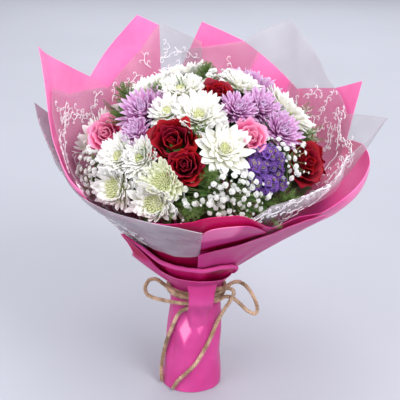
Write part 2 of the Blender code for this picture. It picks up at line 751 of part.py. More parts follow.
def make_tie():
    """Two turns of twine round the neck, with the knot that holds them in front."""
    reach = wall_radius(COLLAR_LAYER, 0, TIE_HEIGHT) + FILM_THICKNESS / 2 + TWINE_RADIUS + 2 * CLEARANCE
    turns = 2
    steps = 16
    helix = []
    for step in range(turns * steps + 1):
        share = step / (turns * steps)
        height = TIE_HEIGHT + (share - 0.5) * turns * TWINE_RADIUS * 2.2
        helix.append(around(20 + 360 * turns * share, reach, height))
    curve = cord("twine_turns", helix)
    graph = bpy.context.evaluated_depsgraph_get()
    mesh = bpy.data.meshes.new_from_object(curve.evaluated_get(graph))
    bpy.data.objects.remove(curve)
    shape = bmesh.new()
    shape.from_mesh(mesh)
    bmesh.ops.remove_doubles(shape, verts=shape.verts, dist=0.00001)
    shape.verts.index_update()
    points = [vert.co.copy() for vert in shape.verts]
    faces = [tuple(vert.index for vert in face.verts) for face in shape.faces]
    shape.free()
    return fuse("twine_tie", (points, faces), [knot_shape()], "twine")


def knot_shape():
    """The lump of the knot, flattened against the turns that it holds."""
    bearing, reach, height = KNOT
    shape = bmesh.new()
    bmesh.ops.create_icosphere(shape, subdivisions=2, radius=1.0)
    middle = around(bearing, reach, height)
    out = (middle - around(bearing, 0, height)).normalized()
    side = Vector((0, 0, 1)).cross(out)
    shape.verts.index_update()
    points = []
    for vert in shape.verts:
        across, up, deep = vert.co
        points.append(middle + side * across * 0.0085 + Vector((0, 0, 1)) * up * 0.0080 + out * deep * 0.0052)
    faces = [tuple(vert.index for vert in face.verts) for face in shape.faces]
    shape.free()
    return points, faces


def make_bow():
    """The bow's two loops, which leave and come back to the knot, and its two hanging ends."""
    for name, out, free, back in (
            ("twine_loop_left", LEFT_LOOP_OUT, LEFT_LOOP_FREE, LEFT_LOOP_BACK),
            ("twine_loop_right", RIGHT_LOOP_OUT, RIGHT_LOOP_FREE, RIGHT_LOOP_BACK)):
        route = [around(*place) for place in out]
        route += [Vector(point) for point in free]
        route += [around(*place) for place in back]
        cord(name, smooth_route(route, TWINE_STEP))
    for name, route in (("twine_tail_left", LEFT_TAIL), ("twine_tail_right", RIGHT_TAIL)):
        cord(name, smooth_route([around(*place) for place in route], TWINE_STEP))


def shade(piece):
    if piece.type == "MESH":
        piece.data.shade_smooth()
        piece.data.set_sharp_from_angle(angle=math.radians(40))


for startup_object in list(bpy.data.objects):
    bpy.data.objects.remove(startup_object)
PARTS = new_collection("flower_bouquet")
HEAD_LIST = [Head(*row) for row in HEADS]
for one in HEAD_LIST:
    for neighbour in HEAD_LIST:
        if neighbour is not one:
            one.meet(neighbour)
for one in HEAD_LIST:
    make_head(one)
make_stems(HEAD_LIST)
make_binding()
for sheet in SHEETS:
    make_sheet(*sheet)
make_outer_wrap()
make_tie()
make_bow()
for made_piece in PARTS.objects:
    shade(made_piece)
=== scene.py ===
"""Looks of the hand-tied bouquet: every petal, leaf, sheet of film and strand of twine.

Metres, +Z up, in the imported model's frame. A bearing is an angle in degrees seen from above,
0 at the front (-Y) and growing towards +X. A lean is an angle in degrees from straight up.
"""
import math
import random

import bpy
import numpy as np
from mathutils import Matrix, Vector, noise


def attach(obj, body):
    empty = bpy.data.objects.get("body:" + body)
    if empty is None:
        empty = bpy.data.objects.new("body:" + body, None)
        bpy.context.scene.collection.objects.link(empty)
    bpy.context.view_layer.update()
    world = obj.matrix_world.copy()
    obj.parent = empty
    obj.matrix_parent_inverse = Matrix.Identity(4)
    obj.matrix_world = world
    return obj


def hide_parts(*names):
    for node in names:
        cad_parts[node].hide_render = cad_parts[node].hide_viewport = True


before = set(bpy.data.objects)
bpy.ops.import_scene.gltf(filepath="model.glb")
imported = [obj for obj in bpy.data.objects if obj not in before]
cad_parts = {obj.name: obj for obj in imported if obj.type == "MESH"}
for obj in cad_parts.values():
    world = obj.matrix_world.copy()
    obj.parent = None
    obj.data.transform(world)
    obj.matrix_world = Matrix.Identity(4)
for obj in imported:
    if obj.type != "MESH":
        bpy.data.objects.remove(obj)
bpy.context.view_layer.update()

# The same driving dimensions as the part
HEAD_RADIUS = 0.145
HEAD_RISE = 0.129
HEAD_HEIGHT = 0.272
HEAD_SHIFT = 0.014
FOOT_RADIUS = 0.037
TIE_HEIGHT = 0.131
TWINE_RADIUS = 0.0025
FILM_THICKNESS = 0.0007
NECK_PITCH = 0.0011
BOWL_PITCH = 0.0022
BULGE = 0.038
NECK_RADIUS = 0.0214
NECK_BOTTOM = 0.104
NECK_TOP = 0.150
STEM_RINGS = ((1, 0.0), (5, 0.0150), (10, 0.0300))
STEM_RADIUS = 0.0038
STEM_TWIST = 50
COLLAR_LAYER = 6

FULL_TURN = 6.28
GOLDEN_TURN = 2.39996

# The inside of the bowl of film as height and radius, drawn in a little more than the part's at
# its belly, with the free film above its shoulder
PROFILE = ((0.0, 0.0247), (0.140, 0.0247), (0.170, 0.0490), (0.200, 0.0710), (0.225, 0.0935),
           (0.250, 0.1175), (0.270, 0.1435), (0.287, 0.1590), (0.330, 0.167), (0.440, 0.174))

# Name, bearing, lean and radius in millimetres of everything in the head
HEADS = (
    ("rose_pink_left", -78, 57, 24), ("mum_lilac_left", -55, 35, 28), ("mum_lilac_left_low", -44, 48, 18),
    ("mum_white_left", -48, 62, 25), ("mum_white_left_inner", -33, 60, 22),
    ("mum_white_left_low", -45, 78, 25),
    ("mum_white_front_low", -22, 81, 25), ("mum_green_front", -19, 69, 21), ("mum_white_top", -38, 16, 24),
    ("mum_white_back", -98, 25, 21), ("mum_white_top_left", -30, 33, 20), ("mum_white_top_right", -3, 33, 28),
    ("rose_red_main", -18, 48, 28), ("rose_red_low", -9, 60, 23), ("mum_white_open", 13, 52, 33),
    ("rose_pink_front", 30, 48, 23), ("rose_red_top", 24, 17, 20), ("mum_white_top_far", 88, 19, 22),
    ("mum_lilac_right", 33, 31, 21), ("mum_lilac_right_far", 58, 34, 23), ("mum_lilac_right_low", 56, 50, 24),
    ("statice_right", 34, 65, 26), ("rose_red_right", 67, 71, 26), ("gypsophila_right", 50, 63, 16),
    ("gypsophila_front", 13, 76, 28), ("gypsophila_left", -68, 75, 20), ("fern_front_low", -6, 82, 16),
    ("fern_front", 4, 66, 14), ("fern_top_left", -108, 41, 25), ("fern_top", 165, 8, 18),
    ("gypsophila_top", 125, 17, 18), ("fern_right_low", 42, 84, 20), ("mum_white_right_far", 95, 48, 29),
    ("rose_red_rear_right", 94, 78, 30), ("mum_white_rear_right", 126, 71, 37),
    ("gypsophila_rear", 157, 73, 36),
    ("mum_lilac_rear", -170, 75, 37), ("rose_pink_rear", -134, 79, 31), ("mum_white_rear_left", -100, 72, 37),
    ("mum_lilac_rear_high", 135, 39, 36), ("rose_red_rear_high", 177, 47, 31),
    ("mum_white_rear_high", -140, 53, 37),
    ("mum_white_crown", -156, 23, 33),
)
SEAT_DEPTH = {"rose": 1.15, "mum": 0.85, "statice": 1.2, "gypsophila": 1.5, "fern": 1.6}

# Name, layer, then bearing, rim radius and rim height in millimetres at each corner
SHEETS = (
    ("cellophane_left", 0, (
        (-180, 166, 398), (-162, 176, 423), (-153, 171, 392), (-135, 166, 352), (-108, 168, 362),
        (-90, 172, 384),
        (-81, 168, 345), (-63, 162, 306), (-54, 158, 292))),
    ("cellophane_right", 1, (
        (18, 161, 284), (27, 161, 295), (45, 163, 298), (63, 164, 299), (72, 172, 318), (81, 213, 358),
        (99, 174, 344), (117, 174, 372), (144, 188, 430), (153, 181, 416), (162, 172, 399), (171, 169, 394),
        (189, 168, 386))),
    ("film_left", 1, (
        (-135, 170, 352), (-126, 172, 370), (-90, 184, 433), (-81, 174, 334), (-63, 167, 303),
        (-54, 164, 294))),
    ("film_rear", 2, ((135, 176, 344), (162, 176, 399), (180, 174, 423), (189, 172, 362))),
    ("film_rear_left", 2, (
        (-162, 177, 419), (-153, 181, 434), (-135, 178, 388), (-126, 177, 364), (-117, 178, 340))),
    ("film_right", 3, ((99, 192, 384), (117, 184, 360), (144, 182, 340))),
    ("film_front", 4, (
        (-108, 165, 285), (-81, 161, 283), (-63, 156, 281), (-40, 160, 281), (-27, 163, 281), (-14, 163, 281),
        (-4, 165, 286), (1, 168, 292), (5, 169, 294), (13, 169, 294), (17, 167, 289), (21, 163, 281),
        (27, 153, 269), (33, 145, 261), (39, 164, 277), (45, 180, 281), (63, 192, 294), (81, 197, 303),
        (99, 197, 305), (117, 188, 296), (144, 178, 286))),
    ("cellophane_front", 5, (
        (-126, 178, 298), (-108, 190, 330), (-99, 202, 357), (-81, 166, 292), (-63, 161, 287),
        (-40, 165, 286),
        (-27, 169, 286), (-9, 169, 281), (0, 168, 275))),
)
# Bearing and length in millimetres of the hem that rolls outwards, and the bearing and height
# where the clear front sheet ends below
HEM = ((18, 0), (27, 14), (45, 21), (63, 21), (72, 0))
CLEAR_FOOT = ((-126, 118), (-66, 118), (-54, 150), (-44, 214), (-38, 222), (-27, 216), (-18, 210),
              (-9.7, 210), (-2, 212), (0, 222))
# Rims of the two folds before the pink front sheet: bearing and height in millimetres
INNER_FOLD = ((-1.2, 252), (-0.6, 260), (0.6, 271), (2.4, 276), (4.6, 278.7), (8.1, 280.6), (11.8, 281),
              (14.8, 280.7), (17.6, 279), (21.4, 273), (25.4, 265), (32, 252))
OUTER_FOLD = ((-1, 222), (3.8, 227), (8, 230.6), (13, 234), (18, 237), (21.7, 240), (24.4, 244), (29.6, 249),
              (32.5, 253), (35, 265), (40, 276), (46, 280))
# The size that each sheet was cut to, width and length, and the area that is left when its rim is
# trimmed to points and its foot to the neck
CUTS = {
    "cellophane_left": (0.46, 0.37, 0.068), "cellophane_right": (0.64, 0.38, 0.096),
    "film_left": (0.37, 0.37, 0.045), "film_rear": (0.24, 0.36, 0.034), "film_rear_left": (0.19, 0.37, 0.030),
    "film_right": (0.16, 0.33, 0.026), "film_front": (0.82, 0.30, 0.110),
    "cellophane_front": (0.46, 0.30, 0.044), "film_outer_wrap": (0.36, 0.28, 0.053)}

# Piece, node and far end of each cord, then its route: bearing, radius and height by the neck and
# foot, and X, Y and Z where a loop stands free, with the way back along the neck
CORDS = (
    ("twine_bow_left", "twine_loop_left", "object",
     ((-5, 0.0408, 0.1345), (-25, 0.0408, 0.1350), (-46, 0.0408, 0.1375)),
     ((-0.0335, -0.0190, 0.1425), (-0.0420, -0.0150, 0.1465), (-0.0505, -0.0130, 0.1445),
      (-0.0558, -0.0120, 0.1345), (-0.0538, -0.0120, 0.1250), (-0.0457, -0.0135, 0.1205),
      (-0.0350, -0.0185, 0.1200)),
     ((-46, 0.0408, 0.1225), (-25, 0.0408, 0.1252), (-5, 0.0408, 0.1270))),
    ("twine_bow_right", "twine_loop_right", "object",
     ((21, 0.0408, 0.1345), (42, 0.0408, 0.1365), (61, 0.0408, 0.1390)),
     ((0.0560, -0.0130, 0.1425), (0.0675, -0.0110, 0.1360), (0.0775, -0.0100, 0.1205),
      (0.0825, -0.0100, 0.1050),
      (0.0803, -0.0100, 0.0970), (0.0715, -0.0110, 0.1005), (0.0611, -0.0125, 0.1115),
      (0.0520, -0.0150, 0.1210)),
     ((61, 0.0408, 0.1255), (42, 0.0408, 0.1262), (21, 0.0408, 0.1270))),
    ("twine_end_left", "twine_tail_left", "bare",
     ((5, 0.0395, 0.1203), (-10, 0.0378, 0.1190), (-24, 0.0364, 0.1140), (-36, 0.0361, 0.105),
      (-48, 0.0369, 0.086),
      (-62, 0.0379, 0.062), (-71, 0.0391, 0.039), (-74, 0.0402, 0.018), (-66, 0.0405, 0.004)), (), ()),
    ("twine_end_right", "twine_tail_right", "bare",
     ((8, 0.0402, 0.1420), (25, 0.0407, 0.1424), (42, 0.0440, 0.1430), (54, 0.0494, 0.1412),
      (61, 0.0515, 0.1360),
      (64, 0.0508, 0.1290), (63, 0.0468, 0.1190), (59, 0.0405, 0.1060), (50, 0.0368, 0.093),
      (34, 0.0374, 0.075),
      (18, 0.0382, 0.056), (6, 0.0389, 0.042), (-10, 0.0396, 0.029), (-24, 0.0402, 0.017),
      (-34, 0.0405, 0.004)),
     (), ()),
)
KNOT = (8, 0.0400, 0.131)


# ---- Finishes -------------------------------------------------------------------------------

def linear(code):
    """An sRGB hex colour as linear RGBA."""
    parts = [int(code[i:i + 2], 16) / 255 for i in (1, 3, 5)]
    return tuple(c / 12.92 if c <= 0.04045 else ((c + 0.055) / 1.055) ** 2.4 for c in parts) + (1.0,)


def empty(name):
    made = bpy.data.materials.new(name)
    made.use_nodes = True
    made.node_tree.nodes.clear()
    return made


def add(made, kind, inputs=None, ramp=(), out=0, **settings):
    """A node of a material, as one of its outputs. An input is a value, a hex colour or an output."""
    node = made.node_tree.nodes.new("ShaderNode" + kind)
    for name, value in settings.items():
        setattr(node, name, value)
    for name, value in (inputs or {}).items():
        if isinstance(value, bpy.types.NodeSocket):
            made.node_tree.links.new(value, node.inputs[name])
        else:
            node.inputs[name].default_value = linear(value) if isinstance(value, str) else value
    stops = node.color_ramp.elements if ramp else ()
    while len(stops) < len(ramp):
        stops.new(0.5)
    for stop, (place, code) in zip(stops, ramp):
        stop.position = place
        stop.color = linear(code)
    return node.outputs[out] if len(node.outputs) else None


def maths(made, operation, *values):
    return add(made, "Math", dict(enumerate(values)), operation=operation)


def grain_of(made):
    """The mesh's own three numbers: across, along, and a third that holds each petal's own tone and, on the
    film, its painted light and shade.
    """
    vector = add(made, "Attribute", out="Vector", attribute_name="grain")
    return [add(made, "SeparateXYZ", {"Vector": vector}, out=axis) for axis in "XYZ"]


def millimetres(made, size):
    """A cloudy pattern in the piece's own space, its features about this many millimetres wide."""
    place = add(made, "TexCoord", out="Object")
    return add(made, "TexNoise", {"Vector": place, "Scale": 1000 / size}, out="Fac")


def surface(made, colour, height, strength, distance, inputs, through=0):
    """Ends a finish: the bumped surface, and the share of light that a thin one lets through."""
    bump = add(made, "Bump", {"Height": height, "Strength": strength, "Distance": distance})
    shader = add(made, "BsdfPrincipled", {"Base Color": colour, "Normal": bump, **inputs})
    if through:
        lit = add(made, "BsdfTranslucent", {"Color": colour})
        shader = add(made, "MixShader", {0: through, 1: shader, 2: lit})
    add(made, "OutputMaterial", {"Surface": shader})
    return made


def petal_finish(name, ramp, roughness, glow, shift, rib, hue, through):
    """A living petal: colour runs from its foot to its tip, no two are quite alike, fine ribs
    run along it, and light soaks a little way in."""
    made = empty(name)
    across, along, tone_and_painted_shade = grain_of(made)
    mottle = millimetres(made, 6)
    share = maths(made, "MULTIPLY_ADD", maths(made, "SUBTRACT", mottle, 0.5), 0.25, along)
    colour = add(made, "HueSaturation", {
        "Color": add(made, "ValToRGB", {"Fac": share}, ramp),
        "Value": add(made, "MapRange", {"Value": tone_and_painted_shade, "To Min": 1 - shift, "To Max": 1 + shift * 0.4}),
        "Hue": add(made, "MapRange", {"Value": tone_and_painted_shade, "To Min": 0.5 - hue, "To Max": 0.5 + hue})})
    wave = maths(made, "SINE", maths(made, "MULTIPLY", across, rib))
    return surface(made, colour, maths(made, "MULTIPLY_ADD", wave, 0.35, mottle), 0.35, 0.0006, {
        "Roughness": roughness, "IOR": 1.42, "Specular IOR Level": 0.35, "Subsurface Weight": glow,
        "Subsurface Radius": (1.0, 0.9, 0.8), "Subsurface Scale": 0.006}, through)


def leaf_finish(name, dark, light, roughness):
    """A leaf's waxed skin: darker at its foot, with a mottle a few millimetres wide."""
    made = empty(name)
    _, along, tone_and_painted_shade = grain_of(made)
    mottle = millimetres(made, 5)
    share = maths(made, "MULTIPLY_ADD", maths(made, "MULTIPLY_ADD", mottle, 0.6, tone_and_painted_shade), 0.35, along)
    colour = add(made, "ValToRGB", {"Fac": share}, ((0.15, dark), (1.25, light)))
    return surface(made, colour, mottle, 0.3, 0.0005, {
        "Roughness": roughness, "IOR": 1.45, "Subsurface Weight": 0.1,
        "Subsurface Radius": (0.4, 1.0, 0.2), "Subsurface Scale": 0.001})


def film_finish(name, ramp):
    """Matt polypropylene wrapping film, coloured through. Where one sheet lies over the light it is
    painted pale, and where sheets lie in one another's shade, painted shade deepens the colour to
    crimson; the grain's third number says how much. Soft satin shine, with faint creases some 30 mm apart."""
    made = empty(name)
    _, _, tone_and_painted_shade = grain_of(made)
    crease = millimetres(made, 34)
    handled = millimetres(made, 9)
    # Painted light and shade from the grain's third number, with a little crease mottle
    depth = maths(made, "MULTIPLY_ADD", maths(made, "SUBTRACT", crease, 0.5), 0.22, tone_and_painted_shade)
    height = maths(made, "MULTIPLY_ADD", handled, 0.15, crease)
    return surface(made, add(made, "ValToRGB", {"Fac": depth}, ramp), height, 0.35, 0.004,
                   {"Roughness": 0.30, "IOR": 1.49, "Specular IOR Level": 0.28}, 0.25)


def cellophane_finish(name, code, alpha):
    """Thin polypropylene cellophane, slightly smoky: see-through with a soft shine and creases."""
    made = empty(name)
    crease = millimetres(made, 30)
    colour = add(made, "ValToRGB", {"Fac": crease}, ((0.3, code), (0.8, "#C9C4CB")))
    return surface(made, colour, crease, 0.4, 0.003, {"Roughness": 0.22, "IOR": 1.49, "Alpha": alpha})


def jute_finish(name):
    """Spun jute: dull straw-brown plant fibre, streaked along its strands about every 0.9 mm."""
    made = empty(name)
    fibre = millimetres(made, 0.9)
    share = maths(made, "MULTIPLY_ADD", fibre, 0.7, millimetres(made, 14))
    colour = add(made, "ValToRGB", {"Fac": share}, ((0.62, "#75593F"), (0.85, "#A38267"), (1.1, "#D0B195")))
    return surface(made, colour, fibre, 0.8, 0.0006,
                   {"Roughness": 0.9, "Sheen Weight": 0.3, "Specular IOR Level": 0.2})


def plain_finish(name, dark, light, size, roughness, distance=0.0003):
    """A surface whose colour drifts between two tones over features of this many millimetres."""
    made = empty(name)
    pattern = millimetres(made, size)
    colour = add(made, "ValToRGB", {"Fac": pattern}, ((0.35, dark), (0.65, light)))
    return surface(made, colour, pattern, 0.4, distance, {"Roughness": roughness})


# Colour from foot to tip, roughness, how far light soaks in, how much petals differ in lightness,
# ribs, how much they differ in hue, and the share of light that comes through
FINISH = {key: petal_finish(*row) for key, row in {
    # Painted shade: nearly black at each petal's foot, deep in the folds; a velvet bloom hides any shine
    "rose_red": ("velvet_rose_petal_red", ((0, "#300004"), (0.5, "#70000E"), (1, "#A00022")),
                 0.6, 0.05, 0.30, 0, 0.006, 0.10),
    "rose_pink": ("rose_petal_pink", ((0, "#E01864"), (0.45, "#F55494"), (1, "#FDA4CA")),
                  0.5, 0.30, 0.14, 0, 0.006, 0.20),
    # Clean white that turns yellow-green only at the foot
    "mum_white": ("chrysanthemum_petal_white", (
        (0, "#EFF5AE"), (0.25, "#FAFAE6"), (0.6, "#FFFEFB"),
        (1, "#FFFDFC")), 0.5, 0.4, 0.03, 20, 0.003, 0.30),
    "mum_green": ("chrysanthemum_petal_greenish_white", ((0, "#DEEE92"), (0.35, "#F6F9D8"), (1, "#FFFEF6")),
                  0.5, 0.5, 0.03, 20, 0.003, 0.42),
    # Magenta in the heart, pale lavender at the tips
    "mum_lilac": ("chrysanthemum_petal_lilac", (
        (0, "#C04CA2"), (0.3, "#E08CD0"), (0.7, "#EFC2EC"), (1, "#F6E8FB")), 0.5, 0.4, 0.07, 20, 0.010, 0.36),
    "mum_eye": ("chrysanthemum_disc_floret", ((0, "#A8BC50"), (0.4, "#ECF0A4"), (1, "#FCFBE2")),
                0.6, 0.3, 0.12, 0, 0.01, 0.2),
    "gypsophila": ("babys_breath_petal_white", ((0, "#F0F4E4"), (0.4, "#FFFFFC"), (1, "#FFFFFF")),
                   0.6, 0.5, 0.02, 0, 0.002, 0.45),
    # Dry and papery: no shine, and the cups differ widely in lightness
    "statice": ("sea_lavender_cup_violet", ((0, "#341A60"), (0.6, "#58328E"), (1, "#8A5CB8")),
                0.75, 0.10, 0.30, 20, 0.015, 0.15),
    "statice_eye": ("sea_lavender_heart", ((0, "#5E4A40"), (1, "#C0AE9C")), 0.8, 0.1, 0.3, 34, 0.012, 0.22),
}.items()}
# Greens from the fern's dull needle to the glossier leaf
FINISH.update({key: leaf_finish(*row) for key, row in {
    "fern": ("plumed_fern_needle", "#25381B", "#64803A", 0.6),
    "twig": ("green_twig_bark", "#4A5A34", "#7E8E56", 0.6),
    "leaf": ("leaf_wax_dark_green", "#10200E", "#3C5C28", 0.4),
    "stem": ("stem_skin_green", "#2C4A1C", "#6E8A45", 0.5),
}.items()})
FINISH.update({key: plain_finish(*row) for key, row in {
    "cut": ("cut_stem_pith", "#C8D0A0", "#E8E8C8", 1.5, 0.7),
    "ink": ("printed_ink_white", "#F6EEF6", "#FFFFFF", 3.0, 0.4, 0.0001),
    "string": ("cotton_string_natural", "#C8BFA0", "#E6DEC4", 0.8, 0.85),
    "floor": ("studio_paper_pale", "#A3A5AE", "#A6A8B1", 400.0, 0.8, 0.0),
}.items()})
# The film's own pink in the middle, painted light paler towards 0, painted shade deepening to crimson towards 1
FINISH["film"] = film_finish("polypropylene_film_pink", (
    (0, "#FFA6D8"), (0.15, "#FF8AC8"), (0.3, "#F866B2"), (0.5, "#D94A9A"), (0.65, "#D02478"),
    (0.82, "#CC085C"),
    (1, "#9C003E")))
FINISH["cellophane"] = cellophane_finish("cellophane_smoky", "#A99BA5", 0.22)
FINISH["cellophane_doubled"] = cellophane_finish("cellophane_smoky_doubled", "#A99AA5", 0.58)
FINISH["jute"] = jute_finish("jute_yarn")


# ---- Shapes ---------------------------------------------------------------------------------

def clamp(value):
    return np.clip(value, 0.0, 1.0)


def eased(value):
    return value * value * (3 - 2 * value)


def read(table, at, item=1):
    return np.interp(at, [row[0] for row in table], [row[item] for row in table])


def polar(radius, turn, height):
    return np.array([radius * math.cos(turn), radius * math.sin(turn), height])


def around(bearing, radius, height):
    """Points at bearings and radii from the leaning axis."""
    angle = np.radians(bearing)
    shift = HEAD_SHIFT * clamp(np.asarray(height) / HEAD_HEIGHT)
    parts = np.broadcast_arrays(shift + radius * np.sin(angle), -radius * np.cos(angle), height)
    return np.stack(parts, -1).astype(float)


def bowl(height):
    """Inside radius of the bowl, with its corners rounded."""
    height = np.asarray(height, float)
    reach = 0.003 + 0.009 * clamp((height - 0.146) / 0.03)
    return sum(read(PROFILE, height + reach * part) for part in (-1, -0.5, 0, 0.5, 1)) / 5


def past_bowl(points):
    """How far points stand outside the bowl's inner face."""
    radius = np.hypot(points[:, 0] - HEAD_SHIFT * clamp(points[:, 2] / HEAD_HEIGHT), points[:, 1])
    return radius - bowl(points[:, 2])


def wall(layer, bearing, height):
    """How far out a layer of film lies."""
    pitch = NECK_PITCH + (BOWL_PITCH - NECK_PITCH) * clamp((height - 0.140) / 0.090)
    radius = bowl(height) + layer * pitch
    if layer >= 4:
        swing = clamp((bearing - 27) / 45) * clamp((162 - bearing) / 45)
        radius = radius + BULGE * eased(swing) * clamp((height - 0.170) / 0.087)
    return radius


def dome_point(bearing, lean, share):
    """A place on the domed head, pulled in to this share of its size."""
    turn, tilt = math.radians(bearing), math.radians(lean)
    return np.array([HEAD_SHIFT + share * HEAD_RADIUS * math.sin(turn) * math.sin(tilt),
                     -share * HEAD_RADIUS * math.cos(turn) * math.sin(tilt),
                     HEAD_HEIGHT + share * HEAD_RISE * math.cos(tilt)])


class Growth:
    """Many petals, leaves or strands gathered into one mesh."""

    def __init__(self):
        self.points = []
        self.faces = []
        self.grain = []
        self.finish = []
        self.count = 0

    def add(self, points, faces, grain, finish=0, head=None):
        """Grain is three numbers a point. With a head, the points are in that bloom's own space."""
        self.points.append(head.world(points) if head else points)
        self.grain.append(grain)
        for group in faces:
            rows = group.tolist() if isinstance(group, np.ndarray) else group
            self.faces += [[corner + self.count for corner in face] for face in rows]
            self.finish += [finish] * len(rows)
        self.count += len(points)

    def stamp(self, source, head, centre, axis, size, chance, finish=0, widest=FULL_TURN):
        """A copy of a small flower with +Z along an axis, spun and tinted by chance."""
        spin = chance.random() * widest
        side, up = square_axes(Vector(axis))
        c, s = math.cos(spin), math.sin(spin)
        axes = np.array([side * c + up * s, up * c - side * s, Vector(axis).normalized()])
        points = np.concatenate(source.points) * size @ axes + np.array(centre)
        grain = np.concatenate(source.grain) * (1, 1, 0) + (0, 0, chance.random())
        self.add(points, [source.faces], grain, finish, head)

    def piece(self, name, finishes, nodes=(), slot=None):
        mesh = bpy.data.meshes.new(name)
        mesh.from_pydata(np.concatenate(self.points).tolist(), [], self.faces)
        for key in finishes:
            mesh.materials.append(FINISH[key])
        mesh.polygons.foreach_set("material_index", self.finish)
        mesh.polygons.foreach_set("use_smooth", [True] * len(self.faces))
        grain = mesh.attributes.new("grain", "FLOAT_VECTOR", "POINT")
        grain.data.foreach_set("vector", np.concatenate(self.grain).astype(np.float32).ravel())
        mesh.set_sharp_from_angle(angle=math.radians(50))
        mesh.update()
        made = bpy.data.objects.new(name, mesh)
        bpy.context.scene.collection.objects.link(made)
        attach(made, "root")
        if nodes:
            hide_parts(*nodes)
        return made


def unit(vectors):
    return vectors / np.maximum(np.linalg.norm(vectors, axis=-1, keepdims=True), 1e-9)


def leafed(grid, thickness, tone_and_painted_shade):
    """A closed skin of this thickness round a grid of points, as points, faces and grain."""
    rows, cols = grid.shape[:2]
    normal = unit(np.cross(np.gradient(grid, axis=0), np.gradient(grid, axis=1)))
    half = normal * (thickness / 2)
    points = np.concatenate([(grid + half).reshape(-1, 3), (grid - half).reshape(-1, 3)])
    index = np.arange(rows * cols).reshape(rows, cols)
    quads = np.stack([index[:-1, :-1], index[1:, :-1], index[1:, 1:], index[:-1, 1:]], -1).reshape(-1, 4)
    rim = np.concatenate([index[0, :-1], index[:-1, -1], index[-1, :0:-1], index[:0:-1, 0]])
    after = np.roll(rim, -1)
    under = rows * cols
    strip = np.stack([rim, after, after + under, rim + under], -1)
    across, along = np.meshgrid(np.linspace(-1, 1, cols), np.linspace(0, 1, rows))
    grain = np.stack([across, along, np.broadcast_to(tone_and_painted_shade, across.shape)], -1).reshape(-1, 3)
    return points, [np.concatenate([quads, quads[:, ::-1] + under, strip])], np.concatenate([grain, grain])


def bent(along, angles, length):
    """Outward and upward run of a line whose angle from the horizontal is given along it."""
    middle = (angles[1:] + angles[:-1]) / 2
    step = np.diff(along) * length
    return [np.concatenate([[0], np.cumsum(part(middle) * step)]) for part in (np.cos, np.sin)]


def turned(grid, turn, root):
    """The grid turned about the vertical, and moved to its root."""
    c, s = math.cos(turn), math.sin(turn)
    x, y, z = grid[..., 0], grid[..., 1], grid[..., 2]
    return np.stack([x * c - y * s, x * s + y * c, z], -1) + root


def square_axes(direction):
    """Two unit vectors square to a direction and to each other."""
    direction = direction.normalized()
    side = direction.cross(Vector((0, 0, 1)))
    if side.length < 0.1:
        side = direction.cross(Vector((1, 0, 0)))
    side.normalize()
    return side, side.cross(direction)


def tube_faces(rings, sides):
    index = np.arange(rings * sides).reshape(rings, sides)
    across = np.roll(index, -1, axis=1)
    return np.stack([index[:-1], across[:-1], across[1:], index[1:]], -1).reshape(-1, 4)


def frames_along(path, start):
    """Each point of a path, two directions square to it that don't twist, and the one ahead."""
    side = square_axes(start)[0]
    for index, point in enumerate(path):
        ahead = (path[min(index + 1, len(path) - 1)] - path[max(index - 1, 0)]).normalized()
        side = (side - ahead * side.dot(ahead)).normalized()
        yield point, side, side.cross(ahead), ahead


def tube(path, radii, sides=6):
    """A closed tube along a path whose section doesn't twist on the way."""
    path = [Vector(point) for point in path]
    rings = []
    for (point, side, up, _), radius in zip(frames_along(path, path[-1] - path[0]), radii):
        for step in range(sides):
            turn = 2 * math.pi * step / sides
            rings.append(point + (side * math.cos(turn) + up * math.sin(turn)) * radius)
    points = np.array(rings)
    ends = [np.arange(sides)[::-1][None], (np.arange(sides) + len(points) - sides)[None]]
    along = np.repeat(np.linspace(0, 1, len(path)), sides)
    grain = np.stack([0 * along, along, 0 * along], -1)
    return points, [tube_faces(len(path), sides)] + ends, grain


# ---- Places in the head ---------------------------------------------------------------------

VIEWED_FROM = Vector((0, -0.927, 0.375))
# How far a bloom nods from the dome's own slope towards the front
TURNED = {"rose_pink_left": 0.60, "rose_red_right": 0.40, "rose_pink_front": 0.25, "rose_red_main": 0.25,
          "rose_red_low": 0.30, "rose_red_top": 0.45, "mum_lilac_left": 0.35, "mum_white_left": 0.25,
          "mum_white_top_right": 0.25, "mum_white_top_left": 0.30, "mum_lilac_right": 0.30,
          "mum_lilac_right_low": 0.30, "mum_lilac_right_far": 0.35, "mum_white_top": 0.25, "statice_right": 0.2}
# How much larger or smaller a bloom shows than the space that it was given
SCALED = {"mum_white_open": 0.90, "rose_red_main": 1.12, "rose_red_low": 1.06, "mum_lilac_left": 1.06}
# Blooms kept from showing past a neighbour: a plane's normal and its distance from the origin
SCREENS = {"mum_white_rear_left": (-1, 0, 0, 0.116), "rose_pink_rear": (-1, 0, 0, 0.118)}


